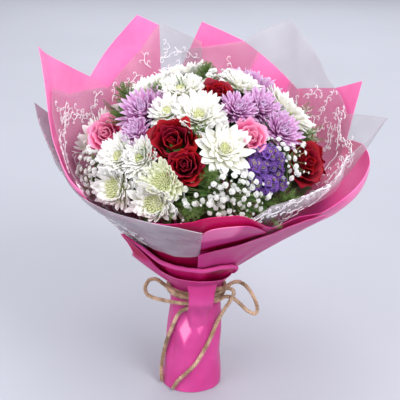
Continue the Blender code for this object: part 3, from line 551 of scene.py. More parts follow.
class Head:
    """One bloom or spray: where it sits on the domed head, and the cell that it may fill."""

    def __init__(self, name, bearing, lean, radius):
        self.name = name
        self.kind = name.split("_")[0]
        self.bearing = bearing
        self.radius = radius / 1000
        self.size = self.radius * SCALED.get(name, 1.0)
        turn, tilt = math.radians(bearing), math.radians(lean)
        out = Vector((math.sin(turn) * math.sin(tilt), -math.cos(turn) * math.sin(tilt), math.cos(tilt)))
        self.face = Vector((HEAD_SHIFT, 0, HEAD_HEIGHT)) + Vector(
            (out.x * HEAD_RADIUS, out.y * HEAD_RADIUS, out.z * HEAD_RISE))
        self.normal = Vector((out.x / HEAD_RADIUS, out.y / HEAD_RADIUS, out.z / HEAD_RISE)).normalized()
        self.depth = self.radius * SEAT_DEPTH[self.kind]
        turned_to = self.normal.lerp(VIEWED_FROM, TURNED.get(name, 0.0)).normalized()
        self.seat = self.face - self.normal * self.depth * 0.5 - turned_to * self.depth * 0.5
        self.axes = np.array([*square_axes(turned_to), turned_to])
        self.planes = [SCREENS[name]] if name in SCREENS else []
        self.others = []
        self.random = random.Random(name)

    def meet(self, other):
        self.others.append(other)
        apart = other.face - self.face
        span = apart.length
        if span > 2.2 * (self.radius + other.radius):
            return
        share = (span * span + self.radius ** 2 - other.radius ** 2) / (2 * span)
        normal = apart / span
        self.planes.append((*normal, normal.dot(self.face) + share))

    def world(self, points):
        """Points of the bloom, +Z out of its face from its seat, in the frame."""
        return points @ self.axes + np.array(self.seat)

    def over(self, points, slack):
        """How far the points stand out of the cell, at most."""
        world = self.world(points.reshape(-1, 3))
        worst = (past_bowl(world) + 0.003).max()
        if self.planes:
            planes = np.array(self.planes)
            worst = max(worst, (world @ planes[:, :3].T - planes[:, 3]).max() - slack)
        return worst

    def grown(self, growth, ending, *finishes):
        """Ends the piece with its finishes, in place of the bloom's part, which it hides."""
        growth.piece(self.name + ending, finishes, [self.name], finishes[0])


# ---- Flowers --------------------------------------------------------------------------------

# Petals, width against the radius, how flat the outermost lie and how upright the innermost
# stand in degrees, bend along the petal, length of the innermost against the outermost, cup of
# the petal's sides, share of the radius that the eye takes, and how pointed the petals are
MUMS = {
    "white": (112, 0.31, -4, 66, 10, 0.44, 0.18, 0.24, 0.6),
    "dotted": (90, 0.36, -2, 50, 8, 0.50, 0.16, 0.50, 0.5),
    "lilac": (150, 0.23, 0, 84, 22, 0.36, 0.30, 0.05, 0.4),
    "mum_white_open": (60, 0.42, -6, 66, 6, 0.28, 0.16, 0.20, 0.8),
    "mum_lilac_left": (150, 0.19, 0, 86, 26, 0.36, 0.40, 0.0, 0.3),
}
DOTTED = ("mum_green_front", "mum_white_front_low", "mum_white_left_low", "mum_white_rear_right",
          "mum_white_right_far")
# Rows of points along an outer and an inner petal, and how many points lie across it
LONG_PETAL = (np.array([0, 0.30, 0.58, 0.80, 0.93, 1.0]), 5)
SHORT_PETAL = (np.array([0, 0.45, 0.82, 1.0]), 3)
PETAL_SLACK = 0.0045


def strap(length, width, rise, curl, cup, chance, rows, cols, pointed):
    """A strap petal: it starts at the origin, leans out along +X at the angle rise, bends up by
    curl, its sides lift by cup, and it sways and twists a little. Pointed runs from 0 to 1."""
    angles = rise + curl * rows ** 1.5
    out, up = bent(rows, angles, length)
    swell = 0.45 + 0.55 * np.sin(np.pi / 2 * np.minimum(rows / 0.6, 1))
    end = np.maximum(rows - 0.5, 0) / 0.5
    point = np.maximum((1 - end ** (2.6 - 0.9 * pointed)) ** (0.5 + 0.3 * pointed), 0.10)
    half = (width / 2 * swell * point)[:, None]
    across = np.linspace(-1, 1, cols)
    lift = cup * half * across ** 2
    lift = lift + math.radians(chance.uniform(-24, 24)) * rows[:, None] * half * across
    sway = chance.uniform(-0.10, 0.10) * length * rows[:, None] ** 2
    return np.stack([out[:, None] - np.sin(angles)[:, None] * lift, half * across + sway,
                     up[:, None] + np.cos(angles)[:, None] * lift], -1)


def mum(head):
    """A chrysanthemum: strap petals in a spiral, flat outside and upright within, round a heart
    of the shortest ones."""
    kind = "dotted" if head.name in DOTTED else "lilac" if "lilac" in head.name else "white"
    count, slim, low, high, bend, shrink, cup, eye, pointed = MUMS.get(head.name, MUMS[kind])
    growth, chance, size = Growth(), head.random, head.size
    start = chance.random() * FULL_TURN
    for index in range(count):
        share = index / (count - 1)
        turn = start + index * GOLDEN_TURN + chance.uniform(-0.14, 0.14)
        rise = math.radians(low + (high - low) * share ** 0.85 + chance.uniform(-8, 8))
        length = size * (1.14 - (1.14 - shrink) * share ** 1.15) * chance.uniform(0.88, 1.06)
        width = size * slim * chance.uniform(0.85, 1.12) * (1 - 0.30 * share)
        foot = size * (0.14 - 0.12 * share) + eye * size * 0.62 * (1 - 0.15 * share)
        root = polar(foot, turn, head.depth * (0.42 + 0.24 * share))
        curl = math.radians(bend + chance.uniform(-10, 14))
        rows, cols = SHORT_PETAL if share > 0.5 else LONG_PETAL
        for _ in range(8):
            grid = turned(strap(length, width, rise, curl, cup, chance, rows, cols, pointed), turn, root)
            if head.over(grid[-3:], PETAL_SLACK) <= 0:
                break
            rise = min(rise + math.radians(10), math.radians(88))
            length *= 0.965
        growth.add(*leafed(grid, 0.0004, chance.random()), 0, head)
    if eye:
        button(growth, head, head.depth * (0.66 if eye < 0.3 else 0.60), eye * size)
    steps = np.linspace(0, 1, 9)
    heart, faces, grain = tube([(0, 0, head.depth * (0.26 + 0.42 * step)) for step in steps],
                               0.56 * size * np.sqrt(np.maximum(1 - (2 * steps - 1) ** 2, 0.02)), 14)
    growth.add(heart, faces, grain * 0 + (0, 0.22, 0.5), 0, head)
    stub(growth, head, 0.40)
    head.grown(growth, "_bloom", slot_of(head.name), "mum_eye", "stem")


# Width and height of a disc floret's mouth, ring by ring
FLORET = ((0.5, 0.0), (0.8, 0.55), (1.25, 0.85), (0.7, 1.0))


def button(growth, head, height, reach):
    """The eye: short tubular florets packed in a spiral."""
    count = int(16 + 150 * (reach / head.radius))
    width = max(0.0008, 0.62 * reach / math.sqrt(count))
    sides = 5
    ring = np.arange(sides)
    angles = ring * 2 * np.pi / sides
    circle = np.stack([np.cos(angles), np.sin(angles), 0 * angles], -1) * width
    last = (len(FLORET) - 1) * sides
    cap = np.stack([last + ring, last + (ring + 1) % sides, np.full(sides, last + sides)], -1)
    for index in range(count):
        out = reach * math.sqrt((index + 0.5) / count)
        base = polar(out, index * GOLDEN_TURN, height + 0.34 * reach * (1 - (out / reach) ** 2))
        tall = 0.0042 + 0.002 * head.random.random()
        lean = base * (0.24, 0.24, 0)
        points = [base + lean * up + (0, 0, tall * up) + circle * wide for wide, up in FLORET]
        points.append((base + lean + (0, 0, tall * 0.72))[None])
        grain = np.zeros((last + sides + 1, 3))
        grain[:, 1] = np.repeat([0.2, 0.5, 0.95, 0.6, 0.0], [sides] * 4 + [1])
        grain[:, 2] = head.random.random()
        growth.add(np.concatenate(points), [tube_faces(len(FLORET), sides), cap], grain, 1, head)


def stub(growth, head, reach):
    """The green cup under a bloom, where the petals meet the stem."""
    size = head.radius
    profile = ((0.0, 0.0014), (0.25, 0.0020), (0.5, 0.13 * size), (0.8, 0.24 * size), (1.0, 0.20 * size))
    path = [head.seat + head.normal * (share * reach + 0.02) * head.depth for share, _ in profile]
    growth.add(*tube(path, [radius for _, radius in profile], 10), 2)


# Petals, foot radius, arc length, then the line's angle from the horizontal at its foot, lower
# middle, upper middle and rim in degrees, and half the angle that a petal spans
ROSE = (
    (3, 0.05, 1.02, (70, 92, 99, 97), 105),
    (3, 0.08, 1.04, (60, 86, 97, 84), 84),
    (4, 0.10, 1.08, (50, 80, 92, 68), 68),
    (5, 0.12, 1.13, (38, 70, 82, 42), 58),
    (5, 0.14, 1.18, (26, 56, 68, 10), 52),
    (5, 0.15, 1.20, (14, 42, 50, -28), 47),
)


def rose_petal(foot, arc, angles, half_angle, chance):
    """A cupped petal with its rim rolled back and a small point at its middle."""
    along = np.array([0, 0.16, 0.32, 0.47, 0.6, 0.72, 0.81, 0.88, 0.94, 1.0])
    tall = along[:, None]
    out, up = bent(along, np.radians(np.interp(along, (0, 0.35, 0.78, 1), angles)), arc)
    across = np.linspace(-1, 1, 13)
    point = 0.10 * np.exp(-(across / 0.22) ** 2)
    lobe = 0.92 - 0.20 * np.abs(across) ** 3 + point - 0.03 * np.cos(across * 8 + chance.random() * 6)
    out = foot + np.interp(tall * lobe, along, out)
    up = np.interp(tall * lobe, along, up)
    widening = np.interp(along, (0, 0.3, 0.7, 1), (0.55, 0.85, 1.0, 0.88))[:, None]
    turn = np.radians(half_angle) * widening * across
    out = out * (1 + 0.10 * np.abs(across) ** 4 * tall ** 2 - 0.06 * across * tall)
    wave = np.sin(across * chance.uniform(3, 7) + chance.random() * 6) * tall ** 3
    return np.stack([(out + 0.035 * arc * wave) * np.cos(turn), out * np.sin(turn),
                     up + 0.02 * arc * wave], -1)


def rose(head):
    """A rose: petals wrapped round a bud, each whorl wider and lower, the outermost rolled back."""
    growth, chance, size = Growth(), head.random, head.size
    start = chance.random() * FULL_TURN
    for number, (count, foot, arc, angles, half_angle) in enumerate(ROSE):
        for index in range(count):
            turn = start + number * 0.9 + 2 * math.pi * (index + chance.uniform(-0.16, 0.16)) / count
            length = arc * size * chance.uniform(0.94, 1.07)
            extra = chance.uniform(-5, 3)
            for _ in range(8):
                grid = rose_petal(foot * size, length, [angle + extra for angle in angles], half_angle,
                                  random.Random(chance.random()))
                grid = turned(grid, turn, np.array([0, 0, head.depth * 0.14]))
                if head.over(grid, 0.0040 + size - head.radius) <= 0:
                    break
                extra += 6
                length *= 0.97
            growth.add(*leafed(grid, 0.0005, chance.random()), 0, head)
    stub(growth, head, 0.20)
    head.grown(growth, "_bloom", slot_of(head.name), "stem", "stem")


def slot_of(name):
    """The record's slot whose name the piece's own name starts with."""
    return "_".join(name.split("_")[:2])


def small_flower(chance, petals, tiers):
    """A tiny double flower, one unit in radius: short ruffled petals in tiers round its middle."""
    growth = Growth()
    along = np.array([0, 0.6, 1.0])
    half = np.array([0.14, 0.44, 0.30])[:, None]
    across = np.array([-1, 0, 1.0])
    for tier in range(tiers):
        for index in range(petals - 2 * tier):
            turn = 2 * math.pi * (index + 0.5 * tier) / (petals - 2 * tier) + chance.uniform(-0.15, 0.15)
            rise = math.radians(18 + 32 * tier + chance.uniform(-10, 10))
            out, up = bent(along, rise + np.array([0, 0.3, -0.2]), 1.0 - 0.15 * tier)
            grid = np.stack([out[:, None] + 0 * across, half * across,
                             up[:, None] + 0.12 * across ** 2 * along[:, None]], -1)
            growth.add(*leafed(turned(grid, turn, np.array([0, 0, 0.1 * tier])), 0.09, chance.random()))
    return growth


# Where florets stray among the neighbours: bearings, leans in degrees and how many
STRAYS = {"gypsophila_front": (-12, 32, 66, 93, 46), "gypsophila_right": (34, 62, 50, 74, 30),
          "gypsophila_left": (-84, -58, 66, 90, 40), "gypsophila_top": (-60, 120, 4, 18, 24)}


def floret_place(head, stray):
    """A chance place for a floret over its own spray, or among the neighbouring blooms."""
    chance = head.random
    if not stray:
        turn = chance.random() * FULL_TURN
        reach = head.radius * 1.10 * math.sqrt(chance.random())
        return polar(reach, turn, head.depth * chance.uniform(0.70, 1.08))
    tip = dome_point(chance.uniform(*stray[:2]), chance.uniform(*stray[2:]), chance.uniform(0.95, 1.03))
    for one in head.others:
        if one.kind in ("mum", "rose", "statice") and (one.face - Vector(tip)).length < 0.86 * one.radius:
            return None
    return (tip - np.array(head.seat)) @ head.axes.T


def gypsophila(head):
    """Baby's breath: forked hair-thin twigs, each ending in a small double flower."""
    growth, chance, size = Growth(), head.random, head.radius
    kinds = [small_flower(chance, 6, 3) for _ in range(3)]
    hub = [np.array([0, 0, head.depth * share]) for share in (0.30, 0.45, 0.60)]
    growth.add(*tube([(0, 0, 0), (0.0005, 0, head.depth * 0.3), hub[1], hub[2]],
                     (0.0011, 0.0009, 0.0007, 0.0005), 5), 1, head)
    tips = []
    *stray, strays = STRAYS.get(head.name, (0,))
    for place, wanted in ((None, int(60 * (size / 0.028) ** 2)), (stray, strays)):
        enough = len(tips) + wanted
        for _ in range(3 * wanted):
            if len(tips) == enough:
                break
            tip = floret_place(head, place)
            if tip is None or any(np.linalg.norm(tip - other) < 0.0062 for other in tips):
                continue
            if head.over(tip[None], 1.0 if place else 0.003) > -0.002:
                continue
            tips.append(tip)
            root = hub[int(chance.random() * 3)]
            fork = root + (tip - root) * 0.5 + (0, 0, 0.10 * size)
            growth.add(*tube([root, fork, tip], (0.00042, 0.00032, 0.00028), 3), 1, head)
            axis = (tip - fork) / np.linalg.norm(tip - fork) + (0, 0, 0.8)
            bud = chance.random() < 0.18
            across = chance.uniform(0.0015, 0.0020) if bud else chance.uniform(0.0030, 0.0041)
            growth.stamp(kinds[len(tips) % 3], head, tip, axis, across, chance)
    head.grown(growth, "_spray", "gypsophila", "twig")


def on_bow(start, bow, end, t):
    return (1 - t) ** 2 * start + 2 * t * (1 - t) * bow + t * t * end


def fern(head):
    """Plumed fern: fine needles in tufts all along forked branchlets."""
    growth, chance, size = Growth(), head.random, head.radius
    growth.add(*tube([(0, 0, 0), (0.001, 0, head.depth * 0.5), (0, 0, head.depth * 0.98)],
                     (0.0013, 0.0010, 0.0005), 5), 1, head)
    count = 30
    for index in range(count):
        turn = index * GOLDEN_TURN + chance.uniform(-0.2, 0.2)
        share = (index + 0.5) / count
        root = np.array([0, 0, head.depth * (0.30 + 0.62 * share)])
        lift = math.radians(8 + 66 * share + chance.uniform(-8, 8))
        out = polar(math.cos(lift), turn, math.sin(lift))
        length = size * (1.12 - 0.40 * share)
        while head.over((root + out * length)[None], 0.0060) > 0 and length > 0.3 * size:
            length *= 0.93
        tip = root + out * length
        bow = (root + tip) / 2 + (0, 0, 0.08 * length)
        growth.add(*tube([root, bow, tip], (0.0005, 0.0004, 0.0002), 3), 1, head)
        needles(growth, head, root, bow, tip, int(20 + length / 0.00042), chance)
    head.grown(growth, "_spray", "fern", "twig")


def needles(growth, head, root, bow, tip, count, chance, finish=0):
    """Soft needles that stand off a branchlet all round it."""
    ahead = Vector(tip - root).normalized()
    side, up = square_axes(ahead)
    wide = 0.00022
    for index in range(count):
        t = min(0.10 + 0.92 * index / count, 1.0)
        base = on_bow(root, bow, tip, t)
        spin = index * 2.4 + chance.uniform(-0.4, 0.4)
        out = (side * math.cos(spin) + up * math.sin(spin)) * 0.85 + ahead * chance.uniform(0.5, 0.9)
        length = chance.uniform(0.0040, 0.0078) * (1 - 0.40 * t)
        a, b = square_axes(out)
        points = np.array([base + np.array(a) * wide, base + np.array(b * 0.87 - a * 0.5) * wide,
                           base - np.array(b * 0.87 + a * 0.5) * wide,
                           base + np.array(out.normalized()) * length])
        grain = np.array([(0, 0.2, 0)] * 3 + [(0, 1.0, 0)], float)
        grain[:, 2] = chance.random()
        growth.add(points, [[(0, 1, 3), (1, 2, 3), (2, 0, 3), (2, 1, 0)]], grain, finish, head)


# Height, width and ruffle of a sea lavender's cup, up its outside and down its lining, with how
# far along the colour each ring is
CUP = ((0, 0.10, 0, 0), (0.45, 0.16, 0, 0.3), (0.80, 0.40, 0.5, 0.7), (1.0, 0.72, 1, 1), (0.97, 0.66, 1, 1),
       (0.76, 0.32, 0.5, 0.5), (0.50, 0.09, 0, 0.1))


def calyx(chance):
    """A papery funnel, one unit tall: a frilled rim on a narrow foot, closed with its own lining."""
    sides = 12
    angles = np.arange(sides) * 2 * np.pi / sides
    frill = 0.16 * np.cos(angles * 4) + 0.06 * np.array([chance.uniform(-1, 1) for _ in angles])
    rings = []
    for up, wide, ruffle, _ in CUP:
        swell = wide * (1 + frill * ruffle)
        rings.append(np.stack([np.cos(angles) * swell, np.sin(angles) * swell,
                               np.full(sides, up) + 0.05 * ruffle * np.cos(angles * 4 + 1)], -1))
    points = np.concatenate(rings)
    ends = [np.arange(sides)[::-1][None], (np.arange(sides) + len(points) - sides)[None]]
    grain = np.zeros((len(points), 3))
    grain[:, 1] = np.repeat([ring[3] for ring in CUP], sides)
    growth = Growth()
    growth.add(points, [tube_faces(len(rings), sides)] + ends, grain)
    return growth


# Clusters of the sea lavender: across and up in the head as shares of its radius, and size
CLUSTERS = ((-0.30, 0.62, 0.40), (0.50, 0.25, 0.36), (-0.42, -0.10, 0.36), (0.05, -0.62, 0.42),
            (0.10, 0.08, 0.30), (0.62, -0.45, 0.28), (-0.60, -0.70, 0.26), (-0.75, 0.35, 0.24),
            (0.30, 0.78, 0.24))


def statice(head):
    """Sea lavender: tight clusters of upright papery cups on forked arms, each with a dry heart."""
    growth, chance, size = Growth(), head.random, head.radius
    cups = [calyx(chance) for _ in range(5)]
    hub = np.array([0, 0, head.depth * 0.30])
    growth.add(*tube([(0, 0, 0), (0, 0.0005, head.depth * 0.2), hub], (0.0013, 0.0012, 0.0011), 6), 1, head)
    for x, y, reach in CLUSTERS:
        centre = np.array([x * size, y * size, head.depth * (0.70 - 0.10 * (x * x + y * y))])
        bow = (hub + centre) / 2 + (0, 0, -0.10 * size)
        path = [on_bow(hub, bow, centre, t) for t in np.linspace(0, 1, 7)]
        growth.add(*tube(path, [0.0008] * 7, 4), 1, head)
        count = int(26 * (reach / 0.36) ** 2)
        for index in range(count):
            lean = math.radians(14 + 92 * ((index + 0.5) / count) ** 0.8)
            turn = index * GOLDEN_TURN + chance.uniform(-0.3, 0.3)
            out = polar(math.sin(lean), turn, math.cos(lean))
            base = centre + out * (reach * size - 0.0052)
            if head.over((base + out * 0.006)[None], 0.004) > 0:
                continue
            axis = out + np.array([chance.uniform(-0.3, 0.3) for _ in range(3)])
            growth.stamp(cups[index % 5], head, base, axis, chance.uniform(0.0052, 0.0066), chance)
            if index < 4:
                growth.stamp(small_flower(chance, 6, 1), head, base + axis * 0.0045, axis, 0.0022,
                             chance, 2, 6)
    head.grown(growth, "_spray", "statice", "twig", "statice_eye")


# ---- Stems ----------------------------------------------------------------------------------

def leaf_grid(root, along, side, length, width, droop):
    """A pointed leaf with a keel and a wavy edge, as a grid in the frame."""
    share = np.array([0, 0.16, 0.38, 0.62, 0.84, 1.0])
    out, up = bent(share, droop * share, length)
    half = (width / 2 * np.sin(np.pi * np.clip(share * 0.92 + 0.06, 0, 1)) ** 0.8)[:, None]
    across = np.linspace(-1, 1, 3)
    lift = np.abs(across) * half * 0.35 + 0.0006 * np.sin(share * 20)[:, None] * across - up[:, None]
    return (np.array(root) + out[:, None, None] * np.array(along) + (half * across)[..., None] * np.array(side)
            + lift[..., None] * np.array(along.cross(side).normalized()))


# Fern tips between the blooms: bearing and lean in degrees, and radius in millimetres
TUFTS = ((-30, 57, 9), (-4, 45, 9), (2, 42, 9), (-15, 86, 12), (30, 86, 14), (-38, 14, 12), (-62, 22, 14),
         (20, 84, 12), (-64, 84, 12), (80, 62, 14), (-118, 60, 18), (150, 55, 18), (-160, 60, 18),
         (110, 60, 16), (-70, 46, 10))
LEAVES = 420


def make_greens(growth, chance):
    """A bed of dark leaves under the blooms, and tips of fern that show between them."""
    centre = Vector((HEAD_SHIFT, 0, HEAD_HEIGHT - 0.02))
    for index in range(LEAVES):
        lean = math.degrees(math.acos(1 - 1.12 * (index + 0.5) / LEAVES))
        root = Vector(dome_point(index * 137.508, lean, chance.uniform(0.66, 0.78)))
        out = (root - centre).normalized()
        side, up = square_axes(out)
        spin = chance.random() * FULL_TURN
        along = ((side * math.cos(spin) + up * math.sin(spin)) * 0.9 + out * 0.45).normalized()
        length = chance.uniform(0.030, 0.046)
        droop = math.radians(chance.uniform(-10, 30))
        grid = leaf_grid(root, along, along.cross(out).normalized(), length, length * 0.40, droop)
        if (past_bowl(grid.reshape(-1, 3)) > -0.003).any():
            continue
        growth.add(*leafed(grid, 0.0005, chance.random()), 2)
    for bearing, lean, size in TUFTS:
        root = Vector(dome_point(bearing, lean, 0.80))
        for _ in range(int(size * 0.9)):
            tip = Vector(dome_point(bearing, lean, 1.0))
            tip += Vector([chance.uniform(-1, 1) * size / 1000 for _ in range(3)])
            bow = root.lerp(tip, 0.55) + Vector((0, 0, 0.003))
            growth.add(*tube([root, bow, tip], (0.0006, 0.0004, 0.0002), 3), 3)
            needles(growth, None, np.array(root.lerp(tip, 0.35)), np.array(bow.lerp(tip, 0.3)), np.array(tip),
                    52, chance, 3)


def make_stems(heads):
    """Cut stems below the tie, forked above it to each head, with leaves under the blooms."""
    growth = Growth()
    chance = random.Random("stems")
    steps = np.linspace(0, 1, 9)
    for count, foot in STEM_RINGS:
        neck = foot * (NECK_RADIUS * 0.96 - STEM_RADIUS) / STEM_RINGS[-1][1]
        for index in range(count):
            path = []
            for share in steps:
                spread = foot + (neck - foot) * min(share * NECK_TOP / NECK_BOTTOM, 1)
                bearing = 360 * index / count + STEM_TWIST * (1 - min(share * 1.4, 1))
                path.append(around(bearing, spread, share * (NECK_TOP - 0.004)))
            points, faces, grain = tube(path, STEM_RADIUS * (1.0 - 0.10 * steps), 12)
            points[:12, 2] = 0
            grain[:, 2] = chance.random()
            growth.add(points, faces[:1] + faces[2:], grain)
            growth.add(points[:12], [np.arange(12)[::-1][None]], grain[:12], 1)
    for head in heads:
        end = head.seat + head.normal * 0.001
        spread = 0.75 * NECK_RADIUS * math.hypot(end.x, end.y) / HEAD_RADIUS
        start = Vector(around(head.bearing, spread, NECK_TOP - 0.012))
        bend = end - head.normal * (end - start).length * 0.32
        path = [start.lerp(bend, t).lerp(bend.lerp(end, t), t) for t in np.linspace(0, 1, 12)]
        points, faces, grain = tube(path, np.linspace(0.0022, 0.0015, 12), 8)
        grain[:, 2] = chance.random()
        growth.add(points, faces, grain)
    make_greens(growth, chance)
    growth.piece("stems_and_leaves", ("stem", "cut", "leaf", "fern"), ["stem_bunch"], "stem")


# ---- Film -----------------------------------------------------------------------------------

def layer_radius(layer, bearing, height):
    """How far out a layer of film lies, and what the gathers that fan up from the tie add to it."""
    angle = np.radians(bearing)
    depth = 0.0030 * clamp((height - 0.142) / 0.03) * clamp((0.262 - height) / 0.07)
    folds = np.sin(11 * angle + 1.1) * 0.5 + np.sin(19 * angle + 0.4) * 0.3 + np.sin(31 * angle) * 0.2
    return wall(layer, bearing, height), depth * (folds - 1) / 2


def crumple(bearing, height, seed, size):
    """A soft unevenness between -1 and 1, with features of this size in metres."""
    angle = np.radians(bearing)
    flat = np.stack(np.broadcast_arrays(0.15 * angle / size, height / size, seed), -1).reshape(-1, 3)
    values = np.array([noise.noise(Vector(point)) for point in flat])
    return values.reshape(np.broadcast(angle, height).shape)


HEM_TURNS = np.radians([30, 60, 90, 120, 150, 180])
HEM_RUN = (0.35, 0.7, 1.0)
HEM_RADIUS = 0.0045


def with_hem(grid, bearings, hems):
    """Adds the hem that rolls out over the rim and hangs down outside it."""
    rise = unit(grid[-1] - grid[-3])
    out = around(bearings, 1.0, grid[-1][:, 2]) - around(bearings, 0.0, grid[-1][:, 2])
    out = unit(out - rise * (out * rise).sum(-1, keepdims=True))
    hems = np.maximum(hems, 0.0012)[:, None]
    radius = np.minimum(HEM_RADIUS, hems / 4)
    rows = [grid[-1] + out * radius * (1 - math.cos(turn)) + rise * radius * math.sin(turn)
            for turn in HEM_TURNS]
    rows += [rows[-1] - rise * (hems - math.pi * radius) * part for part in HEM_RUN]
    return np.concatenate([grid, np.stack(rows)])


def sheet_grid(name, layer, stations):
    """A sheet of film as a grid of points, from the neck up to its rim."""
    first, last = stations[0][0], stations[-1][0]
    bearings = np.linspace(first, last, round((last - first) / 1.8) + 1)
    rim_radius = read(stations, bearings, 1) / 1000
    rim = read(stations, bearings, 2) / 1000
    low = read(CLEAR_FOOT, bearings) / 1000 if name == "cellophane_front" else 0.118
    height = low + (rim - low) * np.linspace(0, 1, 38)[:, None]
    radius = sum(layer_radius(layer, bearings, height))
    radius = radius + (rim_radius - wall(layer, bearings, rim)) * clamp((height - 0.20) / (rim - 0.20)) ** 2
    radius = radius + 0.0025 * crumple(bearings, height, 3.3, 0.06) * clamp((height - 0.15) / 0.05)
    free = clamp((height - 0.285) / 0.08)
    radius = radius + 0.0030 * crumple(bearings, height, layer * 7.7 + len(name), 0.05) * free
    grid = around(bearings, radius, height)
    if name == "cellophane_right":
        grid = with_hem(grid, bearings, read(HEM, bearings) / 1000)
    return grid, bearings


def cuff_grid(layer, stations, low, lift):
    """A sheet folded down outside its neighbour, standing off it by lift at its rim."""
    first, last = stations[0][0], stations[-1][0]
    bearings = np.linspace(first, last, round(last - first) + 1)
    share = np.linspace(0, 1, 30)[:, None]
    height = low + (read(stations, bearings) / 1000 - low) * share
    radius = sum(layer_radius(layer, bearings, height)) + 0.0012 + (lift - 0.0012) * share ** 1.6
    return around(bearings, radius + 0.0025 * crumple(bearings, height, 3.3, 0.06), height)


def painted_shade_of(name, height, bearings):
    """The painted light and shade of a sheet's film at each point: higher where shade is painted, deepening the
    colour to crimson, lower where light is painted.
    """
    if name == "film_front":
        # Painted shade: darker low on the front, near the collar
        painted_shade = 0.55 + 0.20 * clamp((0.222 - height) / 0.014) * clamp((50 - bearings) / 25)
        painted_shade = painted_shade + 0.20 * clamp((0.203 - height) / 0.006) * clamp((42 - bearings) / 10)
        # Painted shadow: darkest below the clear front sheet's foot, between it and the collar
        under = read(CLEAR_FOOT, bearings) / 1000 + 0.004
        painted_shade = np.where((bearings < -1) & (height < under), 1.12, painted_shade)
        # Painted shade: crimson along the top of the front rim
        middle = clamp((bearings + 16) / 8) * clamp((28 - bearings) / 6)
        painted_shade = painted_shade + 0.24 * middle * clamp((height - 0.262) / 0.006)
        # Painted light: paler high on the right flap
        return painted_shade - 0.40 * clamp((bearings - 44) / 20) * clamp((height - 0.235) / 0.03)
    # The other sheets: painted shade darker lower in the bowl and on the rear sheets, paler above where light
    # comes through
    painted_shade = 0.11 + 0.12 * clamp((0.36 - height) / 0.10) + 0.35 * clamp((0.22 - height) / 0.06)
    return painted_shade + 0.05 * (name in ("film_right", "film_rear", "film_rear_left"))


def sheet_piece(growth, name, finish):
    slot = name.split("_")[0]
    width, length, area = CUTS[name]
    piece = growth.piece(name + "_sheet", (finish, "ink"), [name], slot)


def lay_sheet(name, layer, stations):
    grid, bearings = sheet_grid(name, layer, stations)
    growth = Growth()
    growth.add(*leafed(grid, FILM_THICKNESS, painted_shade_of(name, grid[..., 2], bearings)))
    if name.startswith("cellophane"):
        print_vines(growth, grid, name)
    if name == "film_front":
        fold = cuff_grid(layer, INNER_FOLD, 0.225, 0.0060)
        along = np.linspace(INNER_FOLD[0][0], INNER_FOLD[-1][0], fold.shape[1])
        above = fold[..., 2] - read(OUTER_FOLD, along) / 1000
        # Painted shadow: dark crimson where the inner fold meets the outer fold's rim
        painted_shade = 0.52 + 0.46 * clamp((0.007 - above) / 0.004)
        # Painted highlight: paler high up on the inner fold's left
        painted_shade = painted_shade - 0.36 * clamp((above - 0.017) / 0.008) * clamp((16 - along) / 3)
        growth.add(*leafed(fold, FILM_THICKNESS, painted_shade))
        growth.add(*leafed(cuff_grid(layer, OUTER_FOLD, 0.150, 0.0105), FILM_THICKNESS, 0.52))
    sheet_piece(growth, name, "cellophane_doubled" if name == "cellophane_front" else name.split("_")[0])


# Where sprigs of the print start: from and up to which share of a sheet's height, and how far
# along it
PRINTED = {"cellophane_left": (0.40, 0.95, 0.97), "cellophane_right": (0.40, 0.80, 0.97),
           "cellophane_front": (0.30, 0.95, 0.62)}
SPRIG_AREA = 0.0012


def vine_lines(chance):
    """One sprig of the print, its lines in millimetres and half their widths in metres: a winding
    stalk, with curls on either side in turn."""
    lines = []
    heading = chance.uniform(0, FULL_TURN)
    phase = chance.uniform(0, FULL_TURN)
    stalk = [(0.0, 0.0)]
    for step in range(20):
        heading += 0.30 * math.sin(phase + step * 0.55)
        x, y = stalk[-1]
        stalk.append((x + 2.0 * math.cos(heading), y + 2.0 * math.sin(heading)))
        if step % 4 == 2:
            lines.append((curl_line(stalk[-1], heading, 1 if step % 8 == 2 else -1, chance), 0.00028))
    return lines + [(stalk, 0.00034)]


def curl_line(root, heading, hand, chance):
    """A tendril that winds itself up, in steps from its root on the stalk."""
    angle = heading + hand * 0.5
    stride = chance.uniform(1.1, 1.6)
    points = [root]
    for step in range(12):
        angle += hand * (0.16 + 0.05 * step)
        x, y = points[-1]
        points.append((x + stride * math.cos(angle), y + stride * math.sin(angle)))
        stride *= 0.93
    return points


def print_vines(growth, grid, name):
    """The white print: thin flat lines that follow the sheet, seen from both of its sides."""
    chance = random.Random(name)
    rows, cols = grid.shape[:2]
    low, high, widest = PRINTED[name]
    cell = np.cross(grid[1:, :-1] - grid[:-1, :-1], grid[:-1, 1:] - grid[:-1, :-1])
    other = np.cross(grid[1:, :-1] - grid[1:, 1:], grid[:-1, 1:] - grid[1:, 1:])
    area = (np.linalg.norm(cell, axis=-1) + np.linalg.norm(other, axis=-1)).sum() / 2
    for _ in range(int(area / SPRIG_AREA)):
        start = (chance.uniform(low, high) * (rows - 1), chance.uniform(0.03, widest) * (cols - 1))
        place = on_grid(grid, *np.array(start)[:, None])[0]
        if place[2] > 0.350 and 0.03 < place[0] < 0.15 or math.hypot(place[0], place[1]) > 0.186:
            continue
        for line, half in vine_lines(chance):
            track = walked(grid, start, line)
            if len(track) > 4:
                ink_line(growth, grid, track, half)


